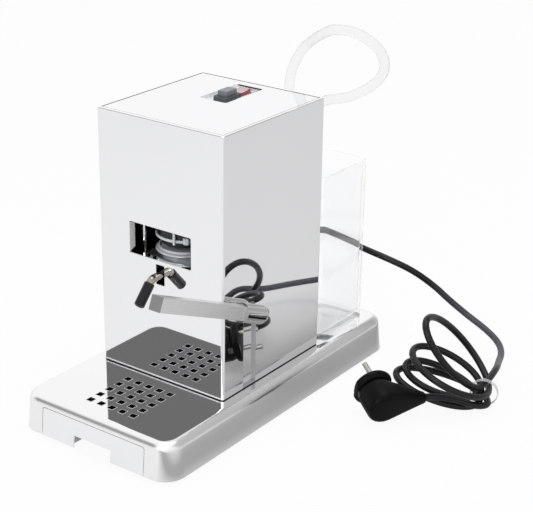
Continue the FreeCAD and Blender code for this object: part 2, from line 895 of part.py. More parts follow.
# Power rocker on two pins, in a housing whose rim stands on the recess floor
rocker_axis_z = recess_top - rocker_axis_drop
rocker_top = rocker_rise + rocker_axis_drop
rocker = block(-rocker_width / 2, rocker_width / 2, -rocker_length / 2, rocker_length / 2, -rocker_skirt,
               rocker_top)
rocker = rocker.makeFillet(rocker_edge_radius, edges_at_height(rocker, rocker_top))
dish_z = rocker_top - rocker_dish_depth + rocker_dish_radius
rocker = rocker.cut(rod(rocker_dish_radius, (-rocker_width, 0, dish_z), (rocker_width, 0, dish_z)))
hub = rod(rocker_hub_radius, (-rocker_width / 2, 0, 0), (rocker_width / 2, 0, 0))
pin_end = rocker_width / 2 + rocker_pin_length
pins = rod(rocker_pin_radius, (-pin_end, 0, 0), (pin_end, 0, 0))
rocker = joined([rocker, hub, pins])
rocker.rotate(Vector(0, 0, 0), X_AXIS, rocker_tilt)
rocker.translate(Vector(switch_middle_x, rocker_middle_y, rocker_axis_z))
save("power_rocker", rocker)

rim_top = recess_top + rim_height
housing_x = neck_x - running_gap
housing_y = neck_y - running_gap
housing_bottom = recess_bottom - switch_body_height
housing = block(switch_middle_x - housing_x, switch_middle_x + housing_x,
                rocker_middle_y - housing_y, rocker_middle_y + housing_y, housing_bottom, rim_top)
rim = block(switch_middle_x - neck_x - rim_width, switch_middle_x + neck_x + rim_width,
            rocker_middle_y - neck_y - rim_width, rocker_middle_y + neck_y + rim_width, recess_top,
            rim_top)
room_bottom = rocker_axis_z - rocker_hub_radius - rocker_floor_gap
room = block(switch_middle_x - rocker_room_x, switch_middle_x + rocker_room_x,
             rocker_middle_y - rocker_room_y, rocker_middle_y + rocker_room_y, room_bottom,
             rim_top + over)
pin_hole_x = pin_end + rocker_pin_gap
cheek_x = pin_hole_x + pin_cheek_wall
pin_hole = rod(rocker_pin_radius + running_gap, (switch_middle_x - pin_hole_x, rocker_middle_y,
                                                 rocker_axis_z),
               (switch_middle_x + pin_hole_x, rocker_middle_y, rocker_axis_z))
pin_cheeks = block(switch_middle_x - cheek_x, switch_middle_x + cheek_x, rocker_middle_y - pin_cheek_half,
                   rocker_middle_y + pin_cheek_half, housing_bottom, recess_bottom)
power_blades = blades(switch_middle_x, (rocker_middle_y - power_blade_reach, rocker_middle_y,
                                        rocker_middle_y + power_blade_reach), housing_bottom)
power_body = joined([housing, rim, pin_cheeks] + power_blades).cut([room, pin_hole])
save("power_switch_body", power_body)

# Lever: bar, knuckle and shaft turn about the pivot axis
pivot = Vector(knuckle_x, pivot_y, pivot_z)


def on_lever(shape):
    # Shapes for the lever are drawn along -Y from the pivot, then turned up to its angle
    shape.rotate(Vector(0, 0, 0), X_AXIS, -lever_angle)
    shape.translate(pivot)
    return shape


bar = block(-bar_width / 2, bar_width / 2, -lever_reach, -knuckle_length, -bar_height / 2, bar_height / 2)
bar = rounded_along(bar, Y_AXIS, bar_edge_radius)
tenon = rod(tenon_radius, (0, -knuckle_length, 0), (0, -knuckle_length + tenon_length, 0))
save("lever_bar", on_lever(bar.fuse(tenon)))

knuckle = rod(knuckle_radius, (0, -knuckle_length, 0), (0, 0, 0))
knuckle = knuckle.fuse(Part.makeSphere(knuckle_radius)).removeSplitter()
knuckle = knuckle.cut(rod(tenon_radius + running_gap, (0, -knuckle_length - over, 0),
                          (0, -knuckle_length + tenon_length, 0)))
knuckle = on_lever(knuckle)
shaft_end = knuckle_x - knuckle_radius + shaft_seat_depth
knuckle = knuckle.cut(rod(shaft_radius, (0, pivot_y, pivot_z), (shaft_end, pivot_y, pivot_z)))
save("lever_knuckle", knuckle)

crank_near = yoke_middle_x + yoke_thickness / 2 + yoke_side_gap
crank_far = crank_near + crank_thickness
save("lever_shaft", rod(shaft_radius, (crank_near, pivot_y, pivot_z), (shaft_end, pivot_y, pivot_z)))

# Crank arm, with its pin on the far side from the bar, and the roller on the pin
pin_y = pivot_y + crank_throw
hub_radius = shaft_radius + crank_wall
end_radius = crank_pin_radius + crank_wall
arm = joined([
    rod(hub_radius, (crank_near, pivot_y, pivot_z), (crank_far, pivot_y, pivot_z)),
    rod(end_radius, (crank_near, pin_y, pivot_z), (crank_far, pin_y, pivot_z)),
    block(crank_near, crank_far, pivot_y, pin_y, pivot_z - end_radius, pivot_z + end_radius),
])
arm = arm.cut(rod(shaft_radius, (crank_near, pivot_y, pivot_z), (crank_far, pivot_y, pivot_z)))
pin_tip = yoke_middle_x - yoke_thickness / 2 - crank_pin_overhang
arm = joined([arm, rod(crank_pin_radius, (pin_tip, pin_y, pivot_z), (crank_far, pin_y, pivot_z)).cut(
    rod(shaft_radius, (crank_near, pivot_y, pivot_z), (crank_far, pivot_y, pivot_z)))])
save("crank_arm", arm)
save("crank_roller", tube_ring(roller_radius, crank_pin_radius + running_gap, (pin_tip, pin_y, pivot_z),
                               (crank_near - seat_gap, pin_y, pivot_z)))

# Bearings of the shaft, in the side plate and in the inner bracket
bearing_radius = shaft_radius + running_gap + bearing_wall
bearing_flange_radius = bearing_radius + bearing_flange_width
bracket_near = shaft_bracket_x - shaft_bracket_thickness / 2
bracket_far = shaft_bracket_x + shaft_bracket_thickness / 2


def bearing(start, plate_start, plate_end):
    sleeve = tube_ring(bearing_radius, shaft_radius + running_gap, (start, pivot_y, pivot_z),
                       (plate_end, pivot_y, pivot_z))
    flange = tube_ring(bearing_flange_radius, shaft_radius + running_gap, (start, pivot_y, pivot_z),
                       (plate_start, pivot_y, pivot_z))
    return sleeve.fuse(flange).removeSplitter()


plate_near = side_plate_x - frame_thickness
bearings = [bearing(plate_near - bearing_flange_thickness, plate_near, side_plate_x),
            bearing(bracket_near - bearing_flange_thickness, bracket_near, bracket_far)]
save("lever_bushes", Part.makeCompound(bearings))

collar_start = bracket_far + collar_gap
save("shaft_collar", tube_ring(shaft_radius + collar_wall, shaft_radius, (collar_start, pivot_y, pivot_z),
                               (collar_start + collar_width, pivot_y, pivot_z)))

bracket_half = bearing_flange_radius + shaft_bracket_margin
bracket_wall = block(bracket_near, bracket_far, pivot_y - bracket_half, pivot_y + bracket_half,
                     frame_floor_top, pivot_z + bracket_half)
bracket_foot = block(bracket_near, bracket_far + shaft_bracket_foot, pivot_y - bracket_half,
                     pivot_y + bracket_half, frame_floor_top, frame_floor_top + shaft_bracket_thickness)
bracket_bore = rod(bearing_radius, (bracket_near - over, pivot_y, pivot_z),
                   (bracket_far + over, pivot_y, pivot_z))
foot_bores = [rod(screw_head_radius + screw_head_room, (x, y, base_top), (x, y, pivot_z))
              for x, y in frame_screw_places]
save("shaft_bracket", joined([bracket_wall, bracket_foot]).cut([bracket_bore] + foot_bores))

# Pod holder: neck, body, lower ring and dished top
spout_start = (0, holder_middle_y + holder_neck_radius / 2, spout_z)
pod_floor = holder_top - pod_depth
holder = revolved([
    (0, holder_bottom),
    (holder_neck_radius, holder_bottom),
    (holder_neck_radius, carriage_top),
    (holder_body_radius, carriage_top),
    (holder_body_radius, holder_ring_bottom),
    (holder_ring_radius - holder_edge, holder_ring_bottom),
    (holder_ring_radius, holder_ring_bottom + holder_edge),
    (holder_ring_radius, holder_top_bottom - holder_edge),
    (holder_ring_radius - holder_edge, holder_top_bottom),
    (holder_top_radius - holder_top_chamfer_run, holder_top_bottom),
    (holder_top_radius, holder_top_bottom + holder_top_chamfer_rise),
    (holder_top_radius, holder_top - holder_edge),
    (holder_top_radius - holder_edge, holder_top),
    (pod_radius, holder_top),
    (pod_radius - pod_wall_lean, pod_floor),
    (0, pod_floor),
], 0.0, holder_middle_y)
spout_seat = rod(spout_tube_radius, spout_start, (0, casing_front, spout_z))
drain_bore = rod(drain_bore_radius, (0, holder_middle_y, spout_z), (0, holder_middle_y, holder_top))
spout_bore_radius = spout_tube_radius - spout_tube_wall
save("pod_holder", holder.cut([spout_seat, drain_bore]))

# Carriage plate round the neck of the holder, its bushes and its slotted yoke
carriage_half = column_half_spacing + carriage_margin
carriage = block(-carriage_half, carriage_half, column_front_y - carriage_margin,
                 column_back_y + carriage_margin, holder_bottom, carriage_top)
carriage = rounded_along(carriage, Z_AXIS, carriage_corner_radius)
bush_radius = column_radius + running_gap + bush_wall
column_places = [(side * column_half_spacing, y) for side in (-1, 1)
                 for y in (column_front_y, column_back_y)]
bush_bores = [rod(bush_radius, (x, y, holder_bottom - over), (x, y, carriage_top + over))
              for x, y in column_places]
neck_bore = rod(holder_neck_radius, (0, holder_middle_y, holder_bottom - over),
                (0, holder_middle_y, carriage_top + over))
spout_notch = block(-spout_tube_radius - seat_gap, spout_tube_radius + seat_gap,
                    column_front_y - carriage_margin - over, holder_middle_y, holder_bottom - over,
                    carriage_top + over)
save("holder_carriage", carriage.cut(bush_bores + [neck_bore, spout_notch]))
bushes = [tube_ring(bush_radius, column_radius + running_gap, (x, y, holder_bottom - bush_rise),
                    (x, y, carriage_top + bush_rise)) for x, y in column_places]
save("holder_bushes", Part.makeCompound(bushes))

yoke_near = yoke_middle_x - yoke_thickness / 2
yoke_far = yoke_middle_x + yoke_thickness / 2
pin_sweep = crank_throw * (1 - math.cos(math.radians(lever_travel)))
slot_front = pin_y - pin_sweep - roller_radius - yoke_slot_gap
slot_rear = pin_y + roller_radius + yoke_slot_gap
slot_low = pivot_z - roller_radius - yoke_slot_gap
slot_high = pivot_z + roller_radius + yoke_slot_gap
yoke = block(yoke_near, yoke_far, slot_front - yoke_wall, slot_rear + yoke_wall, slot_low - yoke_wall,
             holder_bottom)
yoke = yoke.cut(block(yoke_near - over, yoke_far + over, slot_front, slot_rear, slot_low, slot_high))
save("holder_yoke", yoke)

save("guide_columns", Part.makeCompound(
    [rod(column_radius, (x, y, frame_floor_top), (x, y, group_top)) for x, y in column_places]))

# Spout: a steel tube out of the holder, bent down into its rubber tip
angle = math.radians(spout_angle)
knee = Vector(0, casing_front - spout_knee_reach, spout_z)
down = Vector(0, -math.cos(angle), -math.sin(angle))
tube_points = [spout_start, tuple(knee), tuple(knee + down * spout_straight)]
spout_outer = swept(route(tube_points, spout_bend_radius)[0], spout_tube_radius)
spout_inner = swept(route(tube_points, spout_bend_radius)[0], spout_bore_radius)
drop_hole = rod(drain_bore_radius, (0, holder_middle_y, spout_z),
                (0, holder_middle_y, spout_z + spout_tube_radius + over))
save("spout_tube", spout_outer.cut([spout_inner, drop_hole]))

tip_start = tuple(knee + down * spout_tip_start)
tip_step = tuple(knee + down * spout_straight)
tip_end = tuple(knee + down * spout_tip_end)
tip = rod(spout_tip_radius, tip_start, tip_end)
tip = tip.makeFillet(spout_tip_edge_radius, circles_round(tip, tip_start))
tip = tip.makeChamfer(spout_tip_chamfer, circles_round(tip, tip_end))
tip = tip.cut([rod(spout_tube_radius, tip_start, tip_step),
               rod(spout_tip_hole_radius, tip_step, tip_end)])
save("spout_tip", tip)

# Inner frame: floor and two side plates, with the bearing bore on the right
frame_top = group_top + bridge_thickness - frame_rise
frame_floor = block(-side_plate_x, side_plate_x, frame_front, frame_back, base_top, frame_floor_top)
left_plate = block(-side_plate_x, -plate_near, frame_front, frame_back, base_top, frame_top)
right_plate = block(plate_near, side_plate_x, frame_front, frame_back, base_top, frame_top)
plate_bore = rod(bearing_radius, (plate_near - over, pivot_y, pivot_z), (side_plate_x + over, pivot_y,
                                                                         pivot_z))

bridge_screw_z = group_top - bridge_tab_height / 2
bridge_screw_places = [(side, y) for side in (-1, 1) for y in (frame_front + bridge_screw_inset,
                                                               bridge_back - bridge_screw_inset)]
bridge_screw_holes = []
bridge_screws = []
tab_near = plate_near - bridge_thickness
for side, y in bridge_screw_places:
    bridge_screw_holes.append(rod(screw_radius, (side * (tab_near - over), y, bridge_screw_z),
                                  (side * (side_plate_x + over), y, bridge_screw_z)))
    head = rod(screw_head_radius, (side * (tab_near - screw_head_height), y, bridge_screw_z),
               (side * tab_near, y, bridge_screw_z))
    shank = rod(screw_radius, (side * tab_near, y, bridge_screw_z),
                (side * side_plate_x, y, bridge_screw_z))
    bridge_screws.append(head.fuse(shank).removeSplitter())
chassis = joined([frame_floor, left_plate, right_plate])
chassis = chassis.cut([plate_bore] + bridge_screw_holes + [
    rod(screw_radius, (x, y, base_top - over), (x, y, frame_floor_top + over)) for x,
    y in frame_screw_places])
save("chassis_frame", chassis)
save("bridge_screws", Part.makeCompound(bridge_screws))

chassis_screws = []
for x, y in frame_screw_places:
    head = rod(screw_head_radius, (x, y, frame_floor_top), (x, y, frame_floor_top + screw_head_height))
    shank = rod(screw_radius, (x, y, frame_floor_top - frame_screw_grip), (x, y, frame_floor_top))
    chassis_screws.append(head.fuse(shank).removeSplitter())
save("chassis_screws", Part.makeCompound(chassis_screws))

# Bridge that carries the group, with a tab down each side plate
bridge = block(-plate_near, plate_near, frame_front, bridge_back, group_top, group_top + bridge_thickness)
tabs = [block(min(side * tab_near, side * plate_near), max(side * tab_near, side * plate_near),
              frame_front, bridge_back, group_top - bridge_tab_height, group_top) for side in (-1, 1)]
bridge_hole = rod(boss_radius, (0, holder_middle_y, group_top - over),
                  (0, holder_middle_y, group_top + bridge_thickness + over))
save("group_bridge", joined([bridge] + tabs).cut([bridge_hole] + bridge_screw_holes))

# Brew group: body on the bridge, piston below, boss above
boss_top = group_top + boss_height
gasket_top = piston_bottom + gasket_height
group = revolved([
    (0, piston_bottom + screen_thickness),
    (piston_radius - gasket_wall, piston_bottom + screen_thickness),
    (piston_radius - gasket_wall, gasket_top),
    (piston_radius, gasket_top),
    (piston_radius, group_bottom),
    (group_radius, group_bottom),
    (group_radius, group_top),
    (boss_radius, group_top),
    (boss_radius, boss_top),
    (0, boss_top),
], 0.0, holder_middle_y)
group = group.cut(rod(pressure_pipe_radius, (pipe_x, holder_middle_y, boss_top - pipe_seat_depth),
                      (pipe_x, holder_middle_y, boss_top + over)))
save("group_body", group)
save("group_gasket", tube_ring(piston_radius, piston_radius - gasket_wall,
                               (0, holder_middle_y, piston_bottom),
                               (0, holder_middle_y, gasket_top)))
screen = rod(piston_radius - gasket_wall, (0, holder_middle_y, piston_bottom),
             (0, holder_middle_y, piston_bottom + screen_thickness))
screen_holes = []
for circle_radius, count in screen_circles:
    for step in range(count):
        turn = 2 * math.pi * step / count
        x = circle_radius * math.cos(turn)
        y = holder_middle_y + circle_radius * math.sin(turn)
        screen_holes.append(rod(screen_hole_radius, (x, y, piston_bottom - over),
                                (x, y, piston_bottom + screen_thickness + over)))
save("shower_screen", screen.cut(screen_holes))
save("heating_band", tube_ring(group_radius + band_wall, group_radius,
                               (0, holder_middle_y, group_bottom + band_lift),
                               (0, holder_middle_y, group_bottom + band_lift + band_height)))
save("thermostat", rod(thermostat_radius, (thermostat_x, holder_middle_y, boss_top),
                       (thermostat_x, holder_middle_y, boss_top + thermostat_height)))
save("relief_valve", rod(valve_radius, (pipe_x, holder_middle_y - valve_reach, boss_top),
                         (pipe_x, holder_middle_y - valve_reach, boss_top + valve_height)))

# Pump on its rubber mount and bracket
shelf_top = frame_floor_top + pump_shelf_lift
shelf_bottom = shelf_top - pump_bracket_thickness
coil_bottom = shelf_top + pump_mount_height
coil_top = coil_bottom + pump_coil_height
pump_low = coil_bottom - pump_mount_height - pump_neck_length
pump_high = coil_top + pump_neck_length
coil_half = pump_coil_side / 2
coil = rounded_along(block(pump_x - coil_half, pump_x + coil_half, pump_y - coil_half, pump_y + coil_half,
                           coil_bottom, coil_top), Z_AXIS, pump_corner_radius)
necks = rod(pump_neck_radius, (pump_x, pump_y, pump_low), (pump_x, pump_y, pump_high))
save("pump_body", joined([coil, necks]))
save("pump_mount", tube_ring(pump_neck_radius + pump_mount_wall, pump_neck_radius,
                             (pump_x, pump_y, shelf_top),
                             (pump_x, pump_y, coil_bottom)))
leg_half = coil_half - pump_shelf_inset
shelf = block(pump_x - leg_half, pump_x + leg_half, pump_y - coil_half, pump_y + coil_half, shelf_bottom,
              shelf_top)
shelf = shelf.cut(rod(pump_neck_radius + part_gap, (pump_x, pump_y, shelf_bottom - over),
                      (pump_x, pump_y, shelf_top + over)))
bracket_parts = [shelf]
for end in (-1, 1):
    outer = pump_y + end * coil_half
    inner = outer - end * pump_bracket_thickness
    toe = outer - end * pump_bracket_foot
    bracket_parts.append(block(pump_x - leg_half, pump_x + leg_half, min(outer, inner), max(outer, inner),
                               frame_floor_top, shelf_top))
    if end < 0:
        bracket_parts.append(block(pump_x - leg_half, pump_x + leg_half, min(outer, toe), max(outer, toe),
                                   frame_floor_top, frame_floor_top + pump_bracket_thickness))
save("pump_bracket", joined(bracket_parts))

# Pressure pipe from the pump up to the group, and the inner hose down to the pump
low_z = pump_low - pipe_low_drop
high_z = boss_top + pipe_high_rise
save("pressure_pipe", tube("pressure_pipe", [
    (pump_x, pump_y, pump_low),
    (pump_x, pump_y, low_z),
    (pipe_riser_x, pump_y, low_z),
    (pipe_riser_x, pump_y, high_z),
    (pipe_x, holder_middle_y, high_z),
    (pipe_x, holder_middle_y, boss_top - pipe_seat_depth),
], pressure_pipe_radius, pressure_pipe_bend))

fitting_inner = casing_back - back_panel_thickness - fitting_length
fitting_outer = casing_back + fitting_flange_thickness
save("inner_hose", tube("inner_hose", [
    (hose_exit_x, fitting_inner, hose_exit_z),
    (hose_exit_x, fitting_inner - inner_hose_run, hose_exit_z),
    (pump_x, pump_y, hose_exit_z - inner_hose_drop),
    (pump_x, pump_y, pump_high),
], inner_hose_radius, inner_hose_bend))

fitting = joined([
    rod(fitting_radius, (hose_exit_x, fitting_inner, hose_exit_z),
        (hose_exit_x, fitting_outer, hose_exit_z)),
    rod(fitting_flange_radius, (hose_exit_x, casing_back, hose_exit_z),
        (hose_exit_x, fitting_outer, hose_exit_z)),
    rod(fitting_flange_radius, (hose_exit_x, panel_front - fitting_flange_thickness, hose_exit_z),
        (hose_exit_x, panel_front, hose_exit_z)),
])
save("hose_grommet", fitting)

# Terminal block on the left side plate
terminal_z = frame_floor_top + terminal_lift
terminal_back = frame_back - terminal_back_gap
terminal = block(-plate_near, -plate_near + terminal_width, terminal_back - terminal_length,
                 terminal_back, terminal_z, terminal_z + terminal_height)
save("terminal_block", terminal)

# Water vessel, open at the top, with a thick floor
tank = rounded_block(tank_width, tank_depth, tank_corner_radius, base_top, tank_top, tank_middle_x,
                     tank_middle_y)
tank_room = rounded_block(tank_width - 2 * tank_wall, tank_depth - 2 * tank_wall,
                          tank_corner_radius - tank_wall,
                          base_top + tank_floor, tank_top + over, tank_middle_x, tank_middle_y)
tank = tank.cut(tank_room)
tank = tank.makeFillet(tank_rim_radius, edges_at_height(tank, tank_top))
save("water_tank", tank)

# Suction hose: out of the fitting, over in a loop, and down into the vessel to its filter
hose_points = [
    (hose_exit_x, fitting_outer, hose_exit_z),
    (hose_exit_x, 93.2, hose_exit_z),
    (13.9, 110.0, 252.3),
    (0.5, 120.4, 274.3),
    (6.3, 121.5, 301.6),
    (41.6, 107.4, 328.2),
    (74.7, 99.5, 342.4),
    (96.7, 103.3, 339.3),
    (111.2, 110.7, 323.8),
    (112.4, 115.0, 301.7),
    (99.6, 114.8, 283.0),
    (74.2, 111.3, 272.6),
    (41.8, 113.3, 261.0),
    (26.7, 115.8, 243.7),
    (17.6, 117.4, 210.0),
    (15.0, 118.3, 181.7),
    (15.0, 118.0, 155.0),
    (16.0, 118.0, 127.0),
    (19.0, 118.0, 99.0),
]
save("suction_hose", tube("suction_hose", hose_points, hose_radius))
hose_end = Vector(*hose_points[-1])
hose_way = hose_end - Vector(*hose_points[-2])
hose_way.normalize()
filter_end = hose_end + hose_way * filter_height
inlet_filter = rod(filter_radius, tuple(hose_end), tuple(filter_end))
filter_grooves = []
for step in range(filter_rib_count):
    near = hose_end + hose_way * (filter_rib_start + filter_rib_pitch * step)
    far = near + hose_way * filter_groove_width
    filter_grooves.append(tube_ring(filter_radius + over, filter_radius - filter_groove_depth,
                                    tuple(near), tuple(far)))
save("hose_filter", inlet_filter.cut(filter_grooves))

# Mains lead: gland on the rear panel
gland_start = casing_back + gland_flange_thickness
gland_end = gland_start + gland_length
gland = joined([
    rod(gland_radius, (gland_x, panel_front - gland_inner_length, gland_z),
        (gland_x, casing_back, gland_z)),
    rod(gland_flange_radius, (gland_x, casing_back, gland_z), (gland_x, gland_start, gland_z)),
    rod(gland_flange_radius, (gland_x, panel_front - gland_flange_thickness, gland_z),
        (gland_x, panel_front, gland_z)),
    taper(gland_radius, gland_end_radius, (gland_x, gland_start, gland_z), (gland_x, gland_end, gland_z)),
])
save("cord_gland", gland)


def way_of(direction, rise):
    # Unit vector from its direction in plan and its rise, both in degrees
    plan = math.radians(direction)
    lift = math.radians(rise)
    return Vector(math.cos(plan) * math.cos(lift), math.sin(plan) * math.cos(lift), math.sin(lift))


def strand_place(number):
    column, row = strand_places[number]
    along = way_of(tie_way, 0)
    side = Vector(along.y, -along.x, 0)
    return Vector(tie_x, tie_y,
                  lowest_strand + row * strand_pitch) + side * ((column - 0.5) * strand_pitch)


def loop_point(number, turn):
    # Place and way on one loop, an oval from one pass of the tie to the next
    first = strand_place(number)
    step = strand_place(number + 1) - first
    first_width = way_of(*strand_ways[number][:2]) * strand_ways[number][2]
    width_step = way_of(*strand_ways[number + 1][:2]) * strand_ways[number + 1][2] - first_width
    reach, direction, rise = loop_reaches[number]
    outward = way_of(direction, rise) * reach
    share = (turn - math.sin(turn)) / (2 * math.pi)
    share_rate = (1 - math.cos(turn)) / (2 * math.pi)
    width = first_width + width_step * share
    place = first + step * share + outward * (1 - math.cos(turn)) + width * math.sin(turn)
    rate = step * share_rate + outward * math.sin(turn) + width * math.cos(turn)
    rate += width_step * (share_rate * math.sin(turn))
    rate.normalize()
    return place, rate


def arc_from(start, start_way, finish):
    # The arc that leaves start along start_way and ends at finish
    chord = finish - start
    half = start_way.getAngle(chord)
    if half < 0.001:
        return Part.LineSegment(start, finish)
    across = start_way * (chord.Length / 2) - chord * (start_way.dot(chord) / chord.Length / 2)
    across.normalize()
    middle = (start + finish) * 0.5 + across * (chord.Length / 2 * math.tan(half / 2))
    return Part.Arc(start, middle, finish)


def biarc(start, start_way, finish, finish_way):
    # Two arcs that share a tangent where they meet
    gap = finish - start
    ways = start_way + finish_way
    spread = 4 - ways.dot(ways)
    shared = gap.dot(ways)
    if spread < 0.000001:
        reach = gap.dot(gap) / (2 * shared)
    else:
        reach = (math.sqrt(shared ** 2 + spread * gap.dot(gap)) - shared) / spread
    joint = (start + start_way * reach + finish - finish_way * reach) * 0.5
    joint_way = (finish - finish_way * reach) - (start + start_way * reach)
    joint_way.normalize()
    return [arc_from(start, start_way, joint), arc_from(joint, joint_way, finish)]


# Plug: it leans back on the edge of its body, pins one above the other, its neck square to them
pin_way = way_of(plug_direction, plug_rise)
neck_way = Vector(pin_way.y, -pin_way.x, 0)
neck_way.normalize()
lean = math.radians(plug_rise)
plug_lift = plug_body_length * math.sin(lean) + plug_body_radius * math.cos(lean)
plug_face = Vector(plug_x, plug_y, plug_lift)
neck_end = plug_face - pin_way * plug_neck_depth + neck_way * plug_neck_reach


def on_plug(shape):
    # Shapes for the plug are drawn from the middle of its face, pins along +X and neck along -Y
    shape.rotate(Vector(0, 0, 0), Y_AXIS, -plug_rise)
    shape.rotate(Vector(0, 0, 0), Z_AXIS, plug_direction)
    shape.translate(plug_face)
    return shape


flats = block(-plug_face_thickness, 0, -plug_flat, plug_flat, -plug_face_radius, plug_face_radius)
grip = joined([
    rod(plug_face_radius, (-plug_face_thickness, 0, 0), (0, 0, 0)).common(flats),
    taper(plug_body_radius, plug_waist_radius, (-plug_body_length, 0, 0), (-plug_face_thickness, 0, 0)),
    taper(plug_neck_radius, plug_neck_end_radius, (-plug_neck_depth, 0, 0),
          (-plug_neck_depth, -plug_neck_reach, 0)),
])
pins = []
for end in (-1, 1):
    height = end * plug_pin_spacing / 2
    grip = grip.cut(rod(plug_pin_radius, (-plug_pin_seat, 0, height), (0, 0, height)))
    pins.append(on_plug(rod(plug_pin_radius, (-plug_pin_seat, 0, height), (plug_pin_length, 0, height))))
clips = []
for side in (-1, 1):
    # Each clip lies in a groove across a flat of the rim
    near = side * (plug_flat - earth_clip_inset)
    far = near + side * earth_clip_thickness
    foot = near - side * earth_clip_hook
    clip = block(-earth_clip_length, 0, min(near, far), max(near, far), -earth_clip_width / 2,
                 earth_clip_width / 2)
    hook = block(-earth_clip_thickness, 0, min(near, foot), max(near, foot), -earth_clip_width / 2,
                 earth_clip_width / 2)
    clip = clip.fuse(hook).removeSplitter()
    grip = grip.cut(clip)
    clips.append(on_plug(clip))
grip = on_plug(grip)
save("plug_body", grip)
save("plug_pins", Part.makeCompound(pins))
save("plug_earth_clips", Part.makeCompound(clips))

# Free stretch of the mains lead, from the gland to the first pass of the hank
hank_way = way_of(*strand_ways[0][:2])
hank_start = strand_place(0) - hank_way * hank_lead_in
lead_points = [
    (gland_x, gland_end, gland_z),
    (gland_x, 122.0, gland_z),
    (-44.2, 144.6, 115.2),
    (-31.0, 170.3, 109.7),
    (-13.1, 181.7, 104.3),
    (16.8, 184.9, 96.6),
    (48.1, 182.6, 90.2),
    (77.4, 186.6, 83.9),
    (98.9, 197.1, 74.6),
    (117.7, 209.3, 59.2),
    (129.4, 215.4, 47.6),
    (149.5, 220.9, 33.3),
    (170.8, 221.5, 25.3),
    (190.0, 213.7, 20.5),
    (203.0, 197.0, 18.8),
    (211.5, 173.0, 20.3),
    tuple(hank_start - hank_way * lead_last_run),
    tuple(hank_start),
]
save("power_cord", tube("power_cord", lead_points, cord_radius))

# The hank: four loops as one tube, then out of the tie to the plug
hank_edges = [Part.LineSegment(hank_start, strand_place(0))]
loop_count = len(loop_reaches)
for number in range(loop_count):
    for quarter in range(4):
        near = loop_point(number, quarter * math.pi / 2)
        far = loop_point(number, (quarter + 1) * math.pi / 2)
        hank_edges += biarc(*near, *far)
last_way = way_of(*strand_ways[-1][:2])
plug_lead_end = neck_end + neck_way * hank_lead_in
hank_edges += biarc(strand_place(loop_count), last_way, plug_lead_end, neck_way * -1)
hank_edges.append(Part.LineSegment(plug_lead_end, neck_end))
hank_wire = Part.Wire([edge.toShape() for edge in hank_edges])
hank = swept(hank_wire, cord_radius)
save("cord_coil", hank)
hank_points = hank_wire.discretize(Distance=hank_point_step)
skipped = int(hank_near_run / hank_point_step)
least = min(near.distanceToPoint(far) for number, near in enumerate(hank_points)
            for far in hank_points[number + skipped:])
tightest = min(edge.Curve.Radius for edge in hank_wire.Edges if hasattr(edge.Curve, "Radius"))
print("cord_coil: length %.0f mm, least gap to itself %.2f mm, tightest bend %.1f mm"
      % (hank_wire.Length, least - 2 * cord_radius, tightest))
print("    volume over section times length %.4f, lowest point %.2f mm"
      % (hank.Volume / (math.pi * cord_radius ** 2 * hank_wire.Length), hank.BoundBox.ZMin))

# Tie round the strands
tie_middle = Vector(tie_x, tie_y, tie_lift)
tie_half = way_of(tie_way, 0) * (tie_height / 2)
save("cord_tie", tube_ring(tie_inner_radius + tie_wall, tie_inner_radius,
                           tuple(tie_middle - tie_half), tuple(tie_middle + tie_half)))

# Origin under the middle of the machine's own box, leaving out the hose and the lead
loose_pieces = ("suction_hose", "hose_filter", "cord_gland", "power_cord", "cord_coil", "cord_tie",
                "plug_body", "plug_pins", "plug_earth_clips")
own_pieces = Part.makeCompound([shape for name, shape in made.items() if name not in loose_pieces])
own_box = own_pieces.optimalBoundingBox(False, False)
middle_shift = Vector(-round(own_box.Center.x, 2), -round(own_box.Center.y, 2), 0)
print("moved by %.2f, %.2f mm" % (middle_shift.x, middle_shift.y))
for name, shape in made.items():
    shape.translated(middle_shift).exportStep("parts/" + name + ".step")
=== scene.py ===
import math

import bmesh
import bpy
from mathutils import Matrix, Vector


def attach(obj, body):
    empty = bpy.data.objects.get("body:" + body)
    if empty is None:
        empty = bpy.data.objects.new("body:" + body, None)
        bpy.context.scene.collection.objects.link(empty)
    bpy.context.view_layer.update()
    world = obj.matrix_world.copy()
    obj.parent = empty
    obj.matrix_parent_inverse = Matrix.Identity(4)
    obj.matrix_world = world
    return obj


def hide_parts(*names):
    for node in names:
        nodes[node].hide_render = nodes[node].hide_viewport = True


# Pod espresso machine in mirror steel, metres, +Z up, front towards -Y.

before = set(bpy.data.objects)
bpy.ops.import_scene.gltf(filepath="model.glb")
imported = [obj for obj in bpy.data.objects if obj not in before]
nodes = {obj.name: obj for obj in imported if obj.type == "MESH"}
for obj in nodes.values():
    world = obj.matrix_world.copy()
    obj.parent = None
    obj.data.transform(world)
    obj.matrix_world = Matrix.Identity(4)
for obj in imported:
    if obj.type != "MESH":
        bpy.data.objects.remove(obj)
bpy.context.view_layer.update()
print("frame loaded:", len(nodes), "nodes")

scene = bpy.context.scene
scene.view_settings.view_transform = "Standard"
mm = 0.001
machineShift = Vector((-0.55, 3.1, 0.0)) * mm  # the machine's middle over the origin
upWay = Vector((0, 0, 1))
rearRight = Vector((0.6, 0.8, 0))
noiseEnds = (0.3, 0.7)  # a noise stays mostly between these


def at(x, y, z):
    return Vector((x, y, z)) * mm + machineShift


# Camera at the photograph's viewing angle

shot = {
    "place": at(760.46, -967.76, 643.22),
    "turn": 35.909,
    "tip": 22.477,
    "roll": 0.827,
    "lens": 97.58,
    "sensor": 36.0,
    "farthest": 30.0,
}


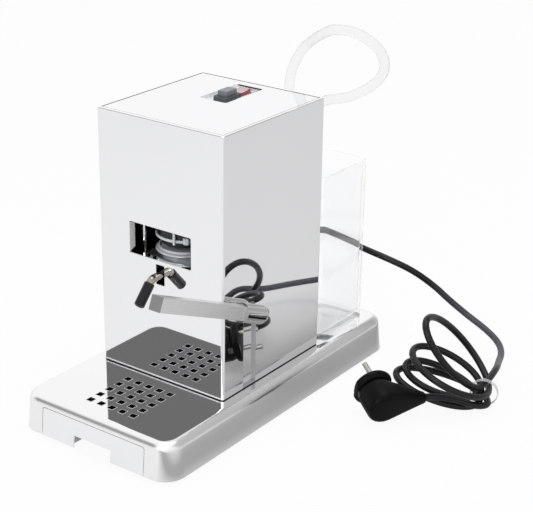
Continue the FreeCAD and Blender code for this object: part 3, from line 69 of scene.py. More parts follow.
def makeCamera():
    turn, tip, roll = (math.radians(shot[k]) for k in ("turn", "tip", "roll"))
    back = Vector((math.sin(turn) * math.cos(tip), -math.cos(turn) * math.cos(tip), math.sin(tip)))
    level = Vector((math.cos(turn), math.sin(turn), 0))
    rise = back.cross(level)
    side = level * math.cos(roll) + rise * math.sin(roll)
    top = rise * math.cos(roll) - level * math.sin(roll)
    data = bpy.data.cameras.new("camera")
    data.lens = shot["lens"]
    data.sensor_width = shot["sensor"]
    data.clip_end = shot["farthest"]
    camera = bpy.data.objects.new("camera", data)
    scene.collection.objects.link(camera)
    rows = Matrix((side, top, back)).transposed().to_4x4()
    camera.matrix_world = Matrix.Translation(shot["place"]) @ rows
    scene.camera = camera


makeCamera()
print("camera set")


# Node helpers for materials

def newMaterial(name):
    mat = bpy.data.materials.new(name)
    mat.use_nodes = True
    tree = mat.node_tree
    skin = tree.nodes["Principled BSDF"]
    return mat, tree, skin


def putValues(skin, **values):
    for key, value in values.items():
        skin.inputs[key.replace("_", " ")].default_value = value


def addNode(tree, kind, **values):
    made = tree.nodes.new(kind)
    for key, value in values.items():
        if key in made.inputs:
            made.inputs[key].default_value = value
        else:
            setattr(made, key, value)
    return made


def placeMap(tree, stretch=(1, 1, 1), turn=(0, 0, 0)):
    # Places in the object's own space, first turned back, then stretched along each axis
    coord = tree.nodes.new("ShaderNodeTexCoord")
    mapping = addNode(tree, "ShaderNodeMapping", vector_type="TEXTURE")
    mapping.inputs["Scale"].default_value = [1 / v for v in stretch]
    mapping.inputs["Rotation"].default_value = turn
    tree.links.new(coord.outputs["Object"], mapping.inputs["Vector"])
    return mapping.outputs["Vector"]


def noise(tree, where, scale, detail=3.0, rough=0.5):
    made = addNode(tree, "ShaderNodeTexNoise", Scale=scale, Detail=detail, Roughness=rough)
    tree.links.new(where, made.inputs["Vector"])
    return made.outputs["Fac"]


def spread(tree, value, low, high, fromLow=noiseEnds[0], fromHigh=noiseEnds[1]):
    made = tree.nodes.new("ShaderNodeMapRange")
    for key, number in (("From Min", fromLow), ("From Max", fromHigh), ("To Min", low), ("To Max", high)):
        made.inputs[key].default_value = number
    tree.links.new(value, made.inputs["Value"])
    return made.outputs["Result"]


def tint(tree, value, dark, light):
    ramp = tree.nodes.new("ShaderNodeValToRGB")
    for end, place, tone in zip(ramp.color_ramp.elements, noiseEnds, (dark, light)):
        end.position = place
        end.color = (*tone, 1)
    tree.links.new(value, ramp.inputs["Fac"])
    return ramp.outputs["Color"]


def deepened(tone, share):
    return tuple(v * share for v in tone)


def bumps(tree, skin, value, strength, distance):
    made = addNode(tree, "ShaderNodeBump", Strength=strength, Distance=distance)
    tree.links.new(value, made.inputs["Height"])
    tree.links.new(made.outputs["Normal"], skin.inputs["Normal"])


def combined(tree, operation, *values):
    # A math node fed with sockets or plain numbers
    made = addNode(tree, "ShaderNodeMath", operation=operation)
    for socket, value in zip(made.inputs, values):
        if isinstance(value, bpy.types.NodeSocket):
            tree.links.new(value, socket)
        else:
            socket.default_value = value
    return made.outputs[0]


def alongWay(tree, places, way):
    # How far each vector reaches along one way
    made = addNode(tree, "ShaderNodeVectorMath", operation="DOT_PRODUCT")
    made.inputs[1].default_value = way
    tree.links.new(places, made.inputs[0])
    return made.outputs["Value"]


def mixedTone(tree, share, base, other):
    mix = addNode(tree, "ShaderNodeMix", data_type="RGBA")
    for key, socket in (("Factor", share), ("A", base), ("B", other)):
        tree.links.new(socket, mix.inputs[key])
    return mix.outputs["Result"]


def mixedShader(tree, share, first, second):
    mix = tree.nodes.new("ShaderNodeMixShader")
    for place, socket in enumerate((share, first, second)):
        tree.links.new(socket, mix.inputs[place])
    return mix.outputs[0]


# Finishes

def polishedSteel(name, base, roughLow, roughHigh, waveDepth):
    # Mirror polish: long faint waves of the sheet, and fine wiping marks in the sheen
    mat, tree, skin = newMaterial(name)
    putValues(skin, Metallic=1.0)
    where = placeMap(tree)
    tone = noise(tree, where, 9.0)
    tree.links.new(tint(tree, tone, deepened(base, 0.985), base), skin.inputs["Base Color"])
    wiped = noise(tree, placeMap(tree, (14, 14, 90)), 26.0, 5.0, 0.6)
    tree.links.new(spread(tree, wiped, roughLow, roughHigh), skin.inputs["Roughness"])
    bumps(tree, skin, noise(tree, where, 11.0, 1.0), 0.25, waveDepth)
    return mat


def brushedMetal(name, base, stretch, roughLow, roughHigh, grooves, turn=(0, 0, 0)):
    # Fine grinding lines along one way
    mat, tree, skin = newMaterial(name)
    putValues(skin, Metallic=1.0)
    lines = noise(tree, placeMap(tree, stretch, turn), 30.0, 8.0, 0.7)
    tree.links.new(tint(tree, lines, deepened(base, 0.82), base), skin.inputs["Base Color"])
    tree.links.new(spread(tree, lines, roughLow, roughHigh), skin.inputs["Roughness"])
    bumps(tree, skin, lines, 0.35, grooves)
    return mat


def moulded(name, base, roughLow, roughHigh, grain, depth, coat=0.0, variation=0.85, gloss=0.5):
    # Moulded plastic or rubber: a fine grain, and cloudy wear in the sheen
    mat, tree, skin = newMaterial(name)
    putValues(skin, Specular_IOR_Level=gloss, IOR=1.5)
    where = placeMap(tree)
    cloud = noise(tree, where, 60.0, 4.0)
    tree.links.new(tint(tree, cloud, deepened(base, variation), base), skin.inputs["Base Color"])
    tree.links.new(spread(tree, cloud, roughLow, roughHigh), skin.inputs["Roughness"])
    bumps(tree, skin, noise(tree, where, grain, 2.0), 0.4, depth)
    if coat:
        putValues(skin, Coat_Weight=coat, Coat_Roughness=0.08)
    return mat


def edgeShare(tree, middle, edge):
    # More body where the surface turns away, as a clear wall has at its edges
    facing = addNode(tree, "ShaderNodeLayerWeight", Blend=0.35)
    return spread(tree, facing.outputs["Facing"], middle, edge, 0.35, 0.95)


def clearPlastic(name, base, rough, ior, waves, depth, body=None):
    # Clear moulding: body, where given, is how much of it the eye sees in its middle and at its edges
    mat, tree, skin = newMaterial(name)
    putValues(skin, Base_Color=(*base, 1), Transmission_Weight=1.0, IOR=ior)
    if body:
        tree.links.new(edgeShare(tree, *body), skin.inputs["Alpha"])
    where = placeMap(tree)
    haze = noise(tree, where, 40.0, 4.0)
    tree.links.new(spread(tree, haze, rough, rough + 0.03), skin.inputs["Roughness"])
    bumps(tree, skin, noise(tree, where, waves, 2.0), 0.3, depth)
    return mat


def milkySoft(name, dark, light, body):
    # Soft clear tube or ring: pale, with cloudy haze, and a little greyer towards its edges
    mat, tree, skin = newMaterial(name)
    where = placeMap(tree)
    haze = noise(tree, where, 90.0, 3.0)
    tree.links.new(tint(tree, haze, dark, light), skin.inputs["Base Color"])
    tree.links.new(spread(tree, haze, 0.22, 0.34), skin.inputs["Roughness"])
    tree.links.new(edgeShare(tree, *body), skin.inputs["Alpha"])
    bumps(tree, skin, noise(tree, where, 120.0, 1.0), 0.1, 0.00003)
    return mat


def turnedAway(tree, way, fromShare, toShare):
    # How far the surface faces one way of the object
    shape = tree.nodes.new("ShaderNodeNewGeometry")
    facing = alongWay(tree, shape.outputs["Normal"], Vector(way).normalized())
    return spread(tree, facing, 0.0, 1.0, fromShare, toShare)


def paintShadeOnEnd(name, mat, way, tone):
    # The faces that look along the given way get a darker tone with a fine grain, a painted shade on the end
    # faces
    tree = mat.node_tree
    skin = tree.nodes["Principled BSDF"]
    ground = skin.inputs["Base Color"].links[0].from_socket
    grain = noise(tree, placeMap(tree, (90, 90, 6)), 30.0, 5.0, 0.6)
    shadedEndTone = tint(tree, grain, deepened(tone, 0.85), tone)
    mixed = mixedTone(tree, turnedAway(tree, way, 0.8, 0.95), ground, shadedEndTone)
    tree.links.new(mixed, skin.inputs["Base Color"])
    mat.name = name
    return mat


def pressedPan(name, mat, edgeRough):
    # The drawn edge of the pan is a little less polished than its flat top and sides
    tree = mat.node_tree
    skin = tree.nodes["Principled BSDF"]
    polish = skin.inputs["Roughness"].links[0].from_socket
    offTop = turnedAway(tree, upWay, 0.99, 0.93)
    offSide = turnedAway(tree, upWay, 0.08, 0.3)
    edge = combined(tree, "MULTIPLY", offTop, offSide)
    tree.links.new(combined(tree, "MULTIPLY_ADD", edge, edgeRough, polish), skin.inputs["Roughness"])
    mat.name = name
    return mat


def paleSatin(name, base):
    # Pale satin sheet: fine lengthwise grain under a thin bright skin
    mat, tree, skin = newMaterial(name)
    putValues(skin, Metallic=0.1, Coat_Weight=0.4, Coat_Roughness=0.12)
    grain = noise(tree, placeMap(tree, (6, 6, 40)), 30.0, 6.0, 0.6)
    tree.links.new(tint(tree, grain, deepened(base, 0.92), base), skin.inputs["Base Color"])
    tree.links.new(spread(tree, grain, 0.24, 0.38), skin.inputs["Roughness"])
    bumps(tree, skin, grain, 0.2, 0.00001)
    return mat


def glossyRocker(name, base, paintedTopReflectionTone):
    # Glossy rocker: deep colour at its sides, and a pale tone on the face that looks up, a painted reflection
    # of the sky
    mat, tree, skin = newMaterial(name)
    putValues(skin, Coat_Weight=0.8, Coat_Roughness=0.06)
    where = placeMap(tree)
    cloud = noise(tree, where, 120.0, 4.0)
    sides = tint(tree, cloud, deepened(base, 0.88), base)
    paintedReflection = tint(tree, cloud, deepened(paintedTopReflectionTone, 0.94), paintedTopReflectionTone)
    # painted reflection: the face that looks up is mixed towards the pale tone
    mixed = mixedTone(tree, turnedAway(tree, upWay, 0.55, 0.95), sides, paintedReflection)
    tree.links.new(mixed, skin.inputs["Base Color"])
    tree.links.new(spread(tree, cloud, 0.14, 0.24), skin.inputs["Roughness"])
    bumps(tree, skin, noise(tree, where, 260.0, 2.0), 0.2, 0.00002)
    return mat


def sheathed(name, base, paintedReflectionTone):
    # Mains lead: smooth soft sheath with scuffs, and a pale painted reflection of the sky on its outer bend,
    # at the rear right
    mat, tree, skin = newMaterial(name)
    where = placeMap(tree)
    scuff = noise(tree, where, 35.0, 5.0, 0.6)
    # painted reflection: the lead turns paler towards the rear right
    paintedReflectionShare = spread(tree, alongWay(tree, where, rearRight), 0.0, 1.0, 0.232, 0.272)
    dull = tint(tree, scuff, deepened(base, 0.6), base)
    paintedReflection = tint(tree, scuff, deepened(paintedReflectionTone, 0.75), paintedReflectionTone)
    tree.links.new(mixedTone(tree, paintedReflectionShare, dull, paintedReflection), skin.inputs["Base Color"])
    tree.links.new(spread(tree, scuff, 0.26, 0.4), skin.inputs["Roughness"])
    putValues(skin, Sheen_Weight=0.04, Sheen_Roughness=0.4, Specular_IOR_Level=0.32)
    bumps(tree, skin, noise(tree, where, 900.0, 2.0), 0.3, 0.00003)
    return mat


barEnd = (0, -0.918, 0.397)  # the way that the end faces of bar and hub look
barTilt = (math.radians(-23.4), 0, 0)

finishes = {
    "mirrorSteel": polishedSteel("mirrorSteel", (0.925, 0.93, 0.938), 0.01, 0.03, 0.00012),
    "baseSteel": pressedPan(
        "baseSteel", polishedSteel("baseSteel", (0.925, 0.927, 0.928), 0.02, 0.06, 0.00016), 0.26),
    # bar and knuckle carry a painted shade on their end faces
    "barSteel": paintShadeOnEnd(
        "barSteel", brushedMetal("barSteel", (0.87, 0.875, 0.87), (70, 2, 70), 0.26, 0.4, 0.00003, barTilt),
        barEnd, (0.46, 0.47, 0.47)),
    "sheetSteel": brushedMetal("sheetSteel", (0.42, 0.43, 0.44), (12, 12, 80), 0.3, 0.5, 0.00003),
    "paleSatin": paleSatin("paleSatin", (0.84, 0.85, 0.86)),
    "holderSatin": paleSatin("holderSatin", (0.74, 0.77, 0.82)),
    "spoutMetal": brushedMetal("spoutMetal", (0.42, 0.385, 0.35), (40, 40, 40), 0.1, 0.2, 0.00002),
    "knuckleSteel": paintShadeOnEnd(
        "knuckleSteel", polishedSteel("knuckleSteel", (0.66, 0.665, 0.66), 0.04, 0.09, 0.0001),
        barEnd, (0.4, 0.405, 0.4)),
    "liningSteel": paleSatin("liningSteel", (0.43, 0.435, 0.44)),
    "recessSatin": moulded("recessSatin", (0.93, 0.935, 0.94), 0.34, 0.44, 400.0, 0.00001, variation=0.97),
    "hoseClear": clearPlastic("hoseClear", (0.93, 0.933, 0.937), 0.3, 1.12, 20.0, 0.00002),
    "pinMetal": brushedMetal("pinMetal", (0.5, 0.49, 0.46), (50, 50, 50), 0.2, 0.34, 0.00002),
    "clipMetal": brushedMetal("clipMetal", (0.12, 0.12, 0.12), (40, 40, 40), 0.35, 0.5, 0.00002),
    "chrome": polishedSteel("chrome", (0.82, 0.825, 0.83), 0.02, 0.05, 0.00003),
    "darkCasting": brushedMetal("darkCasting", (0.05, 0.052, 0.055), (30, 30, 30), 0.25, 0.42, 0.00005),
    "brass": brushedMetal("brass", (0.69, 0.5, 0.24), (40, 40, 40), 0.2, 0.35, 0.00002),
    "copper": brushedMetal("copper", (0.7, 0.38, 0.22), (30, 30, 30), 0.18, 0.32, 0.00002),
    "softRubber": moulded("softRubber", (0.014, 0.015, 0.017), 0.5, 0.68, 900.0, 0.00006, gloss=0.3),
    "tipRubber": moulded("tipRubber", (0.006, 0.006, 0.009), 0.1, 0.17, 300.0, 0.00002, gloss=0.35),
    "bootRubber": moulded("bootRubber", (0.074, 0.08, 0.088), 0.34, 0.5, 700.0, 0.00005),
    "buttonCap": moulded("buttonCap", (0.2, 0.215, 0.235), 0.3, 0.42, 900.0, 0.00004, coat=0.2),
    "blackPlastic": moulded("blackPlastic", (0.003, 0.003, 0.0036), 0.3, 0.46, 1100.0, 0.00006, gloss=0.1),
    # the rocker's second tone is a painted reflection on its top face
    "redGloss": glossyRocker("redGloss", (0.36, 0.006, 0.03), (0.62, 0.4, 0.44)),
    "paleRim": moulded("paleRim", (0.72, 0.66, 0.66), 0.25, 0.36, 500.0, 0.00003),
    "whitePlastic": moulded("whitePlastic", (0.78, 0.78, 0.76), 0.35, 0.5, 500.0, 0.00005, variation=0.94),
    "mica": moulded("mica", (0.16, 0.13, 0.1), 0.4, 0.6, 300.0, 0.0001),
    "vessel": clearPlastic("vessel", (0.93, 0.955, 0.965), 0.01, 1.4, 12.0, 0.0004, (0.06, 0.8)),
    "water": clearPlastic("water", (0.985, 0.992, 1.0), 0.0, 1.03, 30.0, 0.0004),
    "clearTube": clearPlastic("clearTube", (0.93, 0.935, 0.94), 0.12, 1.42, 60.0, 0.0002, (0.6, 0.9)),
    "clearTie": milkySoft("clearTie", (0.62, 0.63, 0.64), (0.8, 0.81, 0.82), (0.35, 0.75)),
    # the lead's second tone is a painted reflection on its outer bend
    "leadSheath": sheathed("leadSheath", (0.006, 0.0065, 0.008), (0.085, 0.09, 0.105)),
}

nodeFinish = {
    "mirrorSteel": ["casing_shell", "top_cover", "tray_front", "rear_panel", "chassis_frame"],
    "baseSteel": ["base_shell"],
    "barSteel": ["lever_bar"],
    "sheetSteel": ["tray_pan", "foot_screws", "base_floor_plate", "tray_rails", "lever_shaft", "crank_arm",
                   "shaft_collar", "shaft_bracket", "holder_carriage", "holder_yoke", "bridge_screws",
                   "chassis_screws", "group_bridge", "pump_bracket"],
    "chrome": ["guide_columns", "shower_screen"],
    "holderSatin": ["pod_holder"],
    "spoutMetal": ["spout_tube"],
    "knuckleSteel": ["lever_knuckle"],
    "pinMetal": ["plug_pins"],
    "clipMetal": ["plug_earth_clips"],
    "darkCasting": ["group_body"],
    "brass": ["crank_roller", "lever_bushes", "holder_bushes", "relief_valve"],
    "copper": ["pressure_pipe"],
    "softRubber": ["base_feet", "casing_seal", "group_gasket", "pump_mount", "hose_grommet"],
    "tipRubber": ["spout_tip"],
    "bootRubber": ["button_boot"],
    "buttonCap": ["brew_button"],
    "blackPlastic": ["brew_switch_body", "pump_body"],
    "redGloss": ["power_rocker"],
    "paleRim": ["power_switch_body"],
    "whitePlastic": ["thermostat", "terminal_block", "hose_filter"],
    "mica": ["heating_band"],
    "vessel": ["water_tank"],
    "clearTube": ["inner_hose"],
}


def dress(piece, finish):
    piece.data.materials.clear()
    piece.data.materials.append(finishes[finish])


for finish, names in nodeFinish.items():
    for name in names:
        dress(nodes[name], finish)
print("finishes on", sum(len(names) for names in nodeFinish.values()), "nodes")


# Mesh helpers

def addMesh(name, mesh, finish, body, smooth):
    piece = bpy.data.objects.new(name, mesh)
    scene.collection.objects.link(piece)
    dress(piece, finish)
    for face in mesh.polygons:
        face.use_smooth = True
    mesh.set_sharp_from_angle(angle=math.radians(smooth))
    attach(piece, body)
    return piece


def frameAlong(way):
    # One way and the two at right angles to it
    way = way.normalized()
    side = upWay.cross(way)
    if side.length < 0.001:
        side = Vector((1, 0, 0))
    side.normalize()
    return way, side, way.cross(side)


def meshOf(made, name):
    bmesh.ops.recalc_face_normals(made, faces=made.faces)
    mesh = bpy.data.meshes.new(name)
    made.to_mesh(mesh)
    made.free()
    return mesh


def bridge(made, rows):
    # Faces from each row of points to the next
    for near, far in zip(rows, rows[1:]):
        count = len(near)
        for k in range(count):
            made.faces.new((near[k], near[(k + 1) % count], far[(k + 1) % count], far[k]))


def skinned(name, rings):
    # A closed skin over rings of points that all have the same count
    made = bmesh.new()
    rows = [[made.verts.new(p) for p in ring] for ring in rings]
    bridge(made, rows)
    made.faces.new(list(reversed(rows[0])))
    made.faces.new(rows[-1])
    return meshOf(made, name)


def looped(name, rings):
    # The same, but the last ring joins the first, as round a hoop
    made = bmesh.new()
    rows = [[made.verts.new(p) for p in ring] for ring in rings]
    bridge(made, rows + rows[:1])
    return meshOf(made, name)


def turned(name, profile, start, way, segments=56):
    # Turned piece: profile holds (distance along the way, radius) in millimetres
    way, side, top = frameAlong(way)
    rings = []
    for along, radius in profile:
        ring = []
        for k in range(segments):
            a = 2 * math.pi * k / segments
            r = radius * mm
            ring.append(start + way * (along * mm) + side * (r * math.cos(a)) + top * (r * math.sin(a)))
        rings.append(ring)
    return skinned(name, rings)


def hoop(name, profile, middle, way, segments=64):
    # A closed profile of (along the way, radius) in millimetres, carried once round
    way, side, top = frameAlong(way)
    rings = []
    for k in range(segments):
        a = 2 * math.pi * k / segments
        out = side * math.cos(a) + top * math.sin(a)
        rings.append([middle + way * (along * mm) + out * (radius * mm) for along, radius in profile])
    return looped(name, rings)


def roundedRect(halfA, halfB, radius, steps=5):
    # Corner-rounded rectangle as (a, b) pairs
    points = []
    radius = min(radius, halfA * 0.98, halfB * 0.98)
    for cornerA, cornerB, first in ((1, 1, 0), (-1, 1, 90), (-1, -1, 180), (1, -1, 270)):
        for k in range(steps + 1):
            a = math.radians(first + 90 * k / steps)
            points.append((cornerA * (halfA - radius) + radius * math.cos(a),
                           cornerB * (halfB - radius) + radius * math.sin(a)))
    return points


# Cords

leadRoute = [
    (-47.0, 101.5, 117.0), (-47.0, 122.0, 117.0), (-44.2, 144.6, 115.2), (-31.0, 170.3, 109.7),
    (-13.1, 181.7, 104.3), (16.8, 184.9, 98.6), (48.1, 182.6, 94.7), (77.4, 186.6, 88.6),
    (98.9, 197.1, 78.6), (117.7, 209.3, 62.4), (129.4, 215.4, 50.2), (149.5, 220.9, 35.8),
    (170.8, 221.5, 26.3), (190.0, 213.7, 20.5), (203.0, 197.0, 18.8), (211.5, 173.0, 20.3),
]
hoseRoute = [
    (22.0, 73.5, 244.0), (22.0, 93.2, 244.0), (1.6, 113.6, 253.1), (-6.1, 123.2, 278.8),
    (8.1, 123.1, 306.5), (41.1, 98.6, 327.0), (64.0, 91.1, 339.9), (88.5, 95.7, 338.2),
    (103.7, 107.7, 324.1), (103.9, 119.1, 303.2), (88.4, 124.1, 284.1), (68.1, 111.8, 271.1),
    (38.3, 110.9, 264.4), (23.4, 115.4, 242.9), (18.1, 117.3, 209.9), (15.0, 118.3, 181.7),
    (15.0, 118.0, 155.0), (16.0, 118.0, 127.0), (19.0, 118.0, 99.0),
]
hank = {
    "tie": (224.1, 121.7), "tieWay": -70.5, "pitch": 7.4, "lowest": 6.4, "leadIn": 6.5, "lastRun": 20.0,
    "places": [(0.5, 2), (0, 1), (1, 1), (1, 0), (0, 0)],
    "ways": [(-86.6, -14.6, 22.2), (-71.5, 6.1, 39.1), (-87.7, -24.8, 18.5), (-53.8, -19.7, 20.8),
             (-59.6, 2.5, 28.4)],
    "reaches": [(45.8, 214.7, 50.5), (38.5, 205.3, 27.9), (37.0, 202.4, 17.0), (42.4, 208.0, 13.8)],
    "turnPoints": 14, "outOfTie": [(233.5, 112.5, 6.9), (227.0, 98.5, 10.0), (212.5, 93.0, 14.5)],
}
plug = {
    "place": (145.0, 49.7), "turn": 147.6, "rise": 15.5, "bodyRadius": 17.0, "bodyLength": 35.0,
    "neckReach": 42.0, "neckDepth": 27.0, "neckEnd": 5.0,
}


def wayOf(turn, rise):
    plan, lift = math.radians(turn), math.radians(rise)
    return Vector((math.cos(plan) * math.cos(lift), math.sin(plan) * math.cos(lift), math.sin(lift)))


pinWay = wayOf(plug["turn"], plug["rise"])
neckWay = Vector((pinWay.y, -pinWay.x, 0)).normalized()
plugUp = neckWay.cross(pinWay)
lean = math.radians(plug["rise"])
plugFace = Vector((*plug["place"], plug["bodyLength"] * math.sin(lean) + plug["bodyRadius"] * math.cos(lean)))
neckStart = plugFace - pinWay * plug["neckDepth"]
neckEnd = neckStart + neckWay * plug["neckReach"]


def strandPlace(number):
    column, row = hank["places"][number]
    along = wayOf(hank["tieWay"], 0)
    side = Vector((along.y, -along.x, 0))
    middle = Vector((*hank["tie"], hank["lowest"] + row * hank["pitch"]))
    return middle + side * ((column - 0.5) * hank["pitch"])


def loopPoint(number, turn):
    # One oval loop of the hank, from one pass of the tie to the next
    first, last = strandPlace(number), strandPlace(number + 1)
    width, nextWidth = (wayOf(*hank["ways"][k][:2]) * hank["ways"][k][2] for k in (number, number + 1))
    reach, aim, rise = hank["reaches"][number]
    share = (turn - math.sin(turn)) / (2 * math.pi)
    outward = wayOf(aim, rise) * reach
    middle = first + (last - first) * share + outward * (1 - math.cos(turn))
    return middle + (width + (nextWidth - width) * share) * math.sin(turn)


def hankPoints():
    # The loops as points of the lead's own spline, each a little outside the bend so that the line meets it
    count = hank["turnPoints"]
    line = []
    for number in range(len(hank["reaches"])):
        line += [loopPoint(number, 2 * math.pi * k / count) for k in range(count)]
    firstWay = wayOf(*hank["ways"][0][:2])
    start = strandPlace(0) - firstWay * hank["leadIn"]
    line = [start - firstWay * hank["lastRun"], start] + line[1:] + [strandPlace(len(hank["reaches"]))]
    bent = list(line)
    for k in range(2, len(line) - 1):
        bent[k] = line[k] + (line[k] * 2 - line[k - 1] - line[k + 1]) / 8
    return bent + [Vector(p) for p in hank["outOfTie"]] + [neckEnd + neckWay * hank["leadIn"], neckEnd]


def makeCord(name, points, diameter, finish):
    data = bpy.data.curves.new(name, "CURVE")
    data.dimensions = "3D"
    line = data.splines.new("NURBS")
    line.points.add(len(points) - 1)
    for point, place in zip(line.points, points):
        point.co = (*at(*place), 1)
    line.order_u = 3
    line.use_endpoint_u = True
    line.resolution_u = 6
    data.bevel_depth = diameter / 2
    data.bevel_resolution = 6
    data.use_fill_caps = True
    cord = bpy.data.objects.new(name, data)
    scene.collection.objects.link(cord)
    data.materials.append(finishes[finish])
    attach(cord, "machine")
    return cord


leadLine = leadRoute + [tuple(p) for p in hankPoints()]
mainsLead = makeCord("mainsLead", leadLine, 0.0065, "leadSheath")
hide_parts("power_cord", "cord_coil")
suctionHose = makeCord("suctionHose", hoseRoute, 0.0092, "hoseClear")
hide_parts("suction_hose")
print("cords laid")


# Plug: flange with two flats, a body that runs out in a wedge to the cord

plugShape = {
    "flange": [(-7.6, 15.9), (-6.6, 17.4), (-5.4, 18.6), (-4.0, 19.2), (-2.0, 19.4), (-0.9, 18.9),
               (0.0, 17.4)],
    "segments": 96, "flat": 17.15, "edge": 5.6, "frontGap": 6.8, "shoulder": 3.0,
    "sections": (-16.6, -16.0, -14.5, -12.0, -8.0, -4.0, 0.0, 5.0, 12.0, 20.0, 28.0, 36.0, 40.5, 41.6, 42.0),
    "bevelFrom": 41, "bevelSlope": 0.9,
}


def plugPoint(along, out, up):
    # Along the pins, out along the neck, and up, all in millimetres from the middle of the face
    return at(*(plugFace + pinWay * along + neckWay * out + plugUp * up))


def plugSection(out):
    # Half height, middle and half depth of the body at one distance along the neck
    radius, reach, end = plug["bodyRadius"], plug["neckReach"], plug["neckEnd"]
    gap, shoulder = plugShape["frontGap"], plugShape["shoulder"]
    slope = math.asin((radius - end) / reach)
    if out < radius * math.sin(slope):
        halfHeight = math.sqrt(max(radius ** 2 - out ** 2, 1.0))
    else:
        halfHeight = radius / math.cos(slope) - out * math.tan(slope)
    share = min(max((out - shoulder) / (reach - shoulder), 0), 1)
    back = -plug["bodyLength"] + share * (plug["bodyLength"] - plug["neckDepth"] - end)
    front = -gap - share * (plug["neckDepth"] - end - gap)
    return halfHeight, (back + front) / 2, (front - back) / 2


def makePlug():
    rings = []
    count = plugShape["segments"]
    for along, radius in plugShape["flange"]:
        ring = []
        for k in range(count):
            a = 2 * math.pi * k / count
            reach = min(radius, plugShape["flat"] / max(abs(math.cos(a)), 0.01))
            ring.append(plugPoint(along, reach * math.cos(a), reach * math.sin(a)))
        rings.append(ring)
    flange = addMesh("plugFlange", skinned("plugFlange", rings), "blackPlastic", "machine",
                     35)
    rings = []
    for out in plugShape["sections"]:
        halfHeight, middle, halfDepth = plugSection(out)
        bevel = max(out - plugShape["bevelFrom"], 0) * plugShape["bevelSlope"]
        outline = roundedRect(halfDepth - bevel, halfHeight - bevel, plugShape["edge"])
        rings.append([plugPoint(middle + a, out, b) for a, b in outline])
    grip = addMesh("plugGrip", skinned("plugGrip", rings), "blackPlastic", "machine", 32)
    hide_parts("plug_body")
    return [flange, grip]


plugPieces = makePlug()

# Cord gland: flanged foot, ribbed taper

glandShape = {
    "foot": [(-8.6, 6.6), (-8.4, 6.95), (-4.0, 6.95), (-3.5, 8.5), (-1.6, 8.5), (-1.5, 6.95), (0.0, 6.95),
             (0.05, 8.4), (0.4, 8.6), (1.7, 8.6), (2.0, 8.2), (2.05, 7.0)],
    "tip": [(29.6, 4.3), (30.0, 4.0)],
    "start": 6.9, "end": 4.25, "length": 28.0, "ribs": 7, "firstRib": 2.6, "ends": 3.0,
    "rib": [(0.0, 0.0), (0.55, 0.15), (0.62, 1.1), (0.92, 1.2)],
}


def makeGland():
    profile = list(glandShape["foot"])
    pitch = (glandShape["length"] - glandShape["ends"]) / glandShape["ribs"]
    for k in range(glandShape["ribs"]):
        near = glandShape["firstRib"] + pitch * k
        share = k / glandShape["ribs"]
        radius = glandShape["start"] * (1 - share) + glandShape["end"] * share
        profile += [(near + pitch * along, radius - depth) for along, depth in glandShape["rib"]]
    mesh = turned("leadGland", profile + glandShape["tip"], at(-47.0, 71.5, 117.0), Vector((0, 1, 0)))
    gland = addMesh("leadGland", mesh, "softRubber", "machine", 50)
    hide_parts("cord_gland")
    return gland


gland = makeGland()

# Tie round the strands: a soft clear ring with a lip at each edge

tieShape = {
    "profile": [(-2.5, 12.4), (-2.3, 13.15), (-1.6, 13.2), (-1.2, 12.95), (1.2, 12.95), (1.6, 13.2),
                (2.3, 13.15), (2.5, 12.4)],
    "height": 13.8,
}


def makeTie():
    middle = at(*hank["tie"], tieShape["height"])
    mesh = hoop("hankTie", tieShape["profile"], middle, wayOf(hank["tieWay"], 0))
    tie = addMesh("hankTie", mesh, "clearTie", "machine", 60)
    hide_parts("cord_tie")
    return tie


tie = makeTie()

# Water in the vessel, with a wavy top

water = {
    "left": -33.0, "right": 65.0, "front": 79.0, "back": 152.0, "low": 44.6, "high": 183.0, "wave": 1.4,
    "gap": 0.02, "corner": 6.0, "edgeDrop": 6,
    "surface": ((1.0, 1.0), (0.97, 0.1), (0.8, 0.0), (0.6, 0.0), (0.4, 0.0), (0.2, 0.0), (0.03, 0.0)),
}


def waveHeight(x, y):
    return water["wave"] * (math.sin(x * 0.09 + 0.6) + 0.6 * math.sin(y * 0.13 + x * 0.05))


def makeWater():
    gap = water["gap"]
    middleX, middleY = (water["left"] + water["right"]) / 2, (water["front"] + water["back"]) / 2
    halfX, halfY = (water["right"] - water["left"]) / 2 - gap, (water["back"] - water["front"]) / 2 - gap
    outline = roundedRect(halfX, halfY, water["corner"], 6)
    rings = []
    for z in (water["low"] + gap, water["low"] + 60, water["high"] - water["edgeDrop"]):
        rings.append([at(middleX + x, middleY + y, z) for x, y in outline])
    for share, lift in water["surface"]:
        rings.append([at(middleX + x * share, middleY + y * share,
                         water["high"] + lift + waveHeight(x * share, y * share)) for x, y in outline])
    addMesh("vesselWater", skinned("vesselWater", rings), "water", "tank", 40)


makeWater()
print("plug, gland, tie and water made")

# Satin edges of the pod window: deep leaves at its sides, thin rims above and below

windowEdge = {
    "half": 35.0, "low": 153.2, "high": 183.7, "front": -76.42, "wall": -75.9, "end": -69.4,
    "rimEnd": -75.6, "mitre": 1.2, "rimMitre": 1.3, "relief": 4.0, "thickness": 0.25,
}


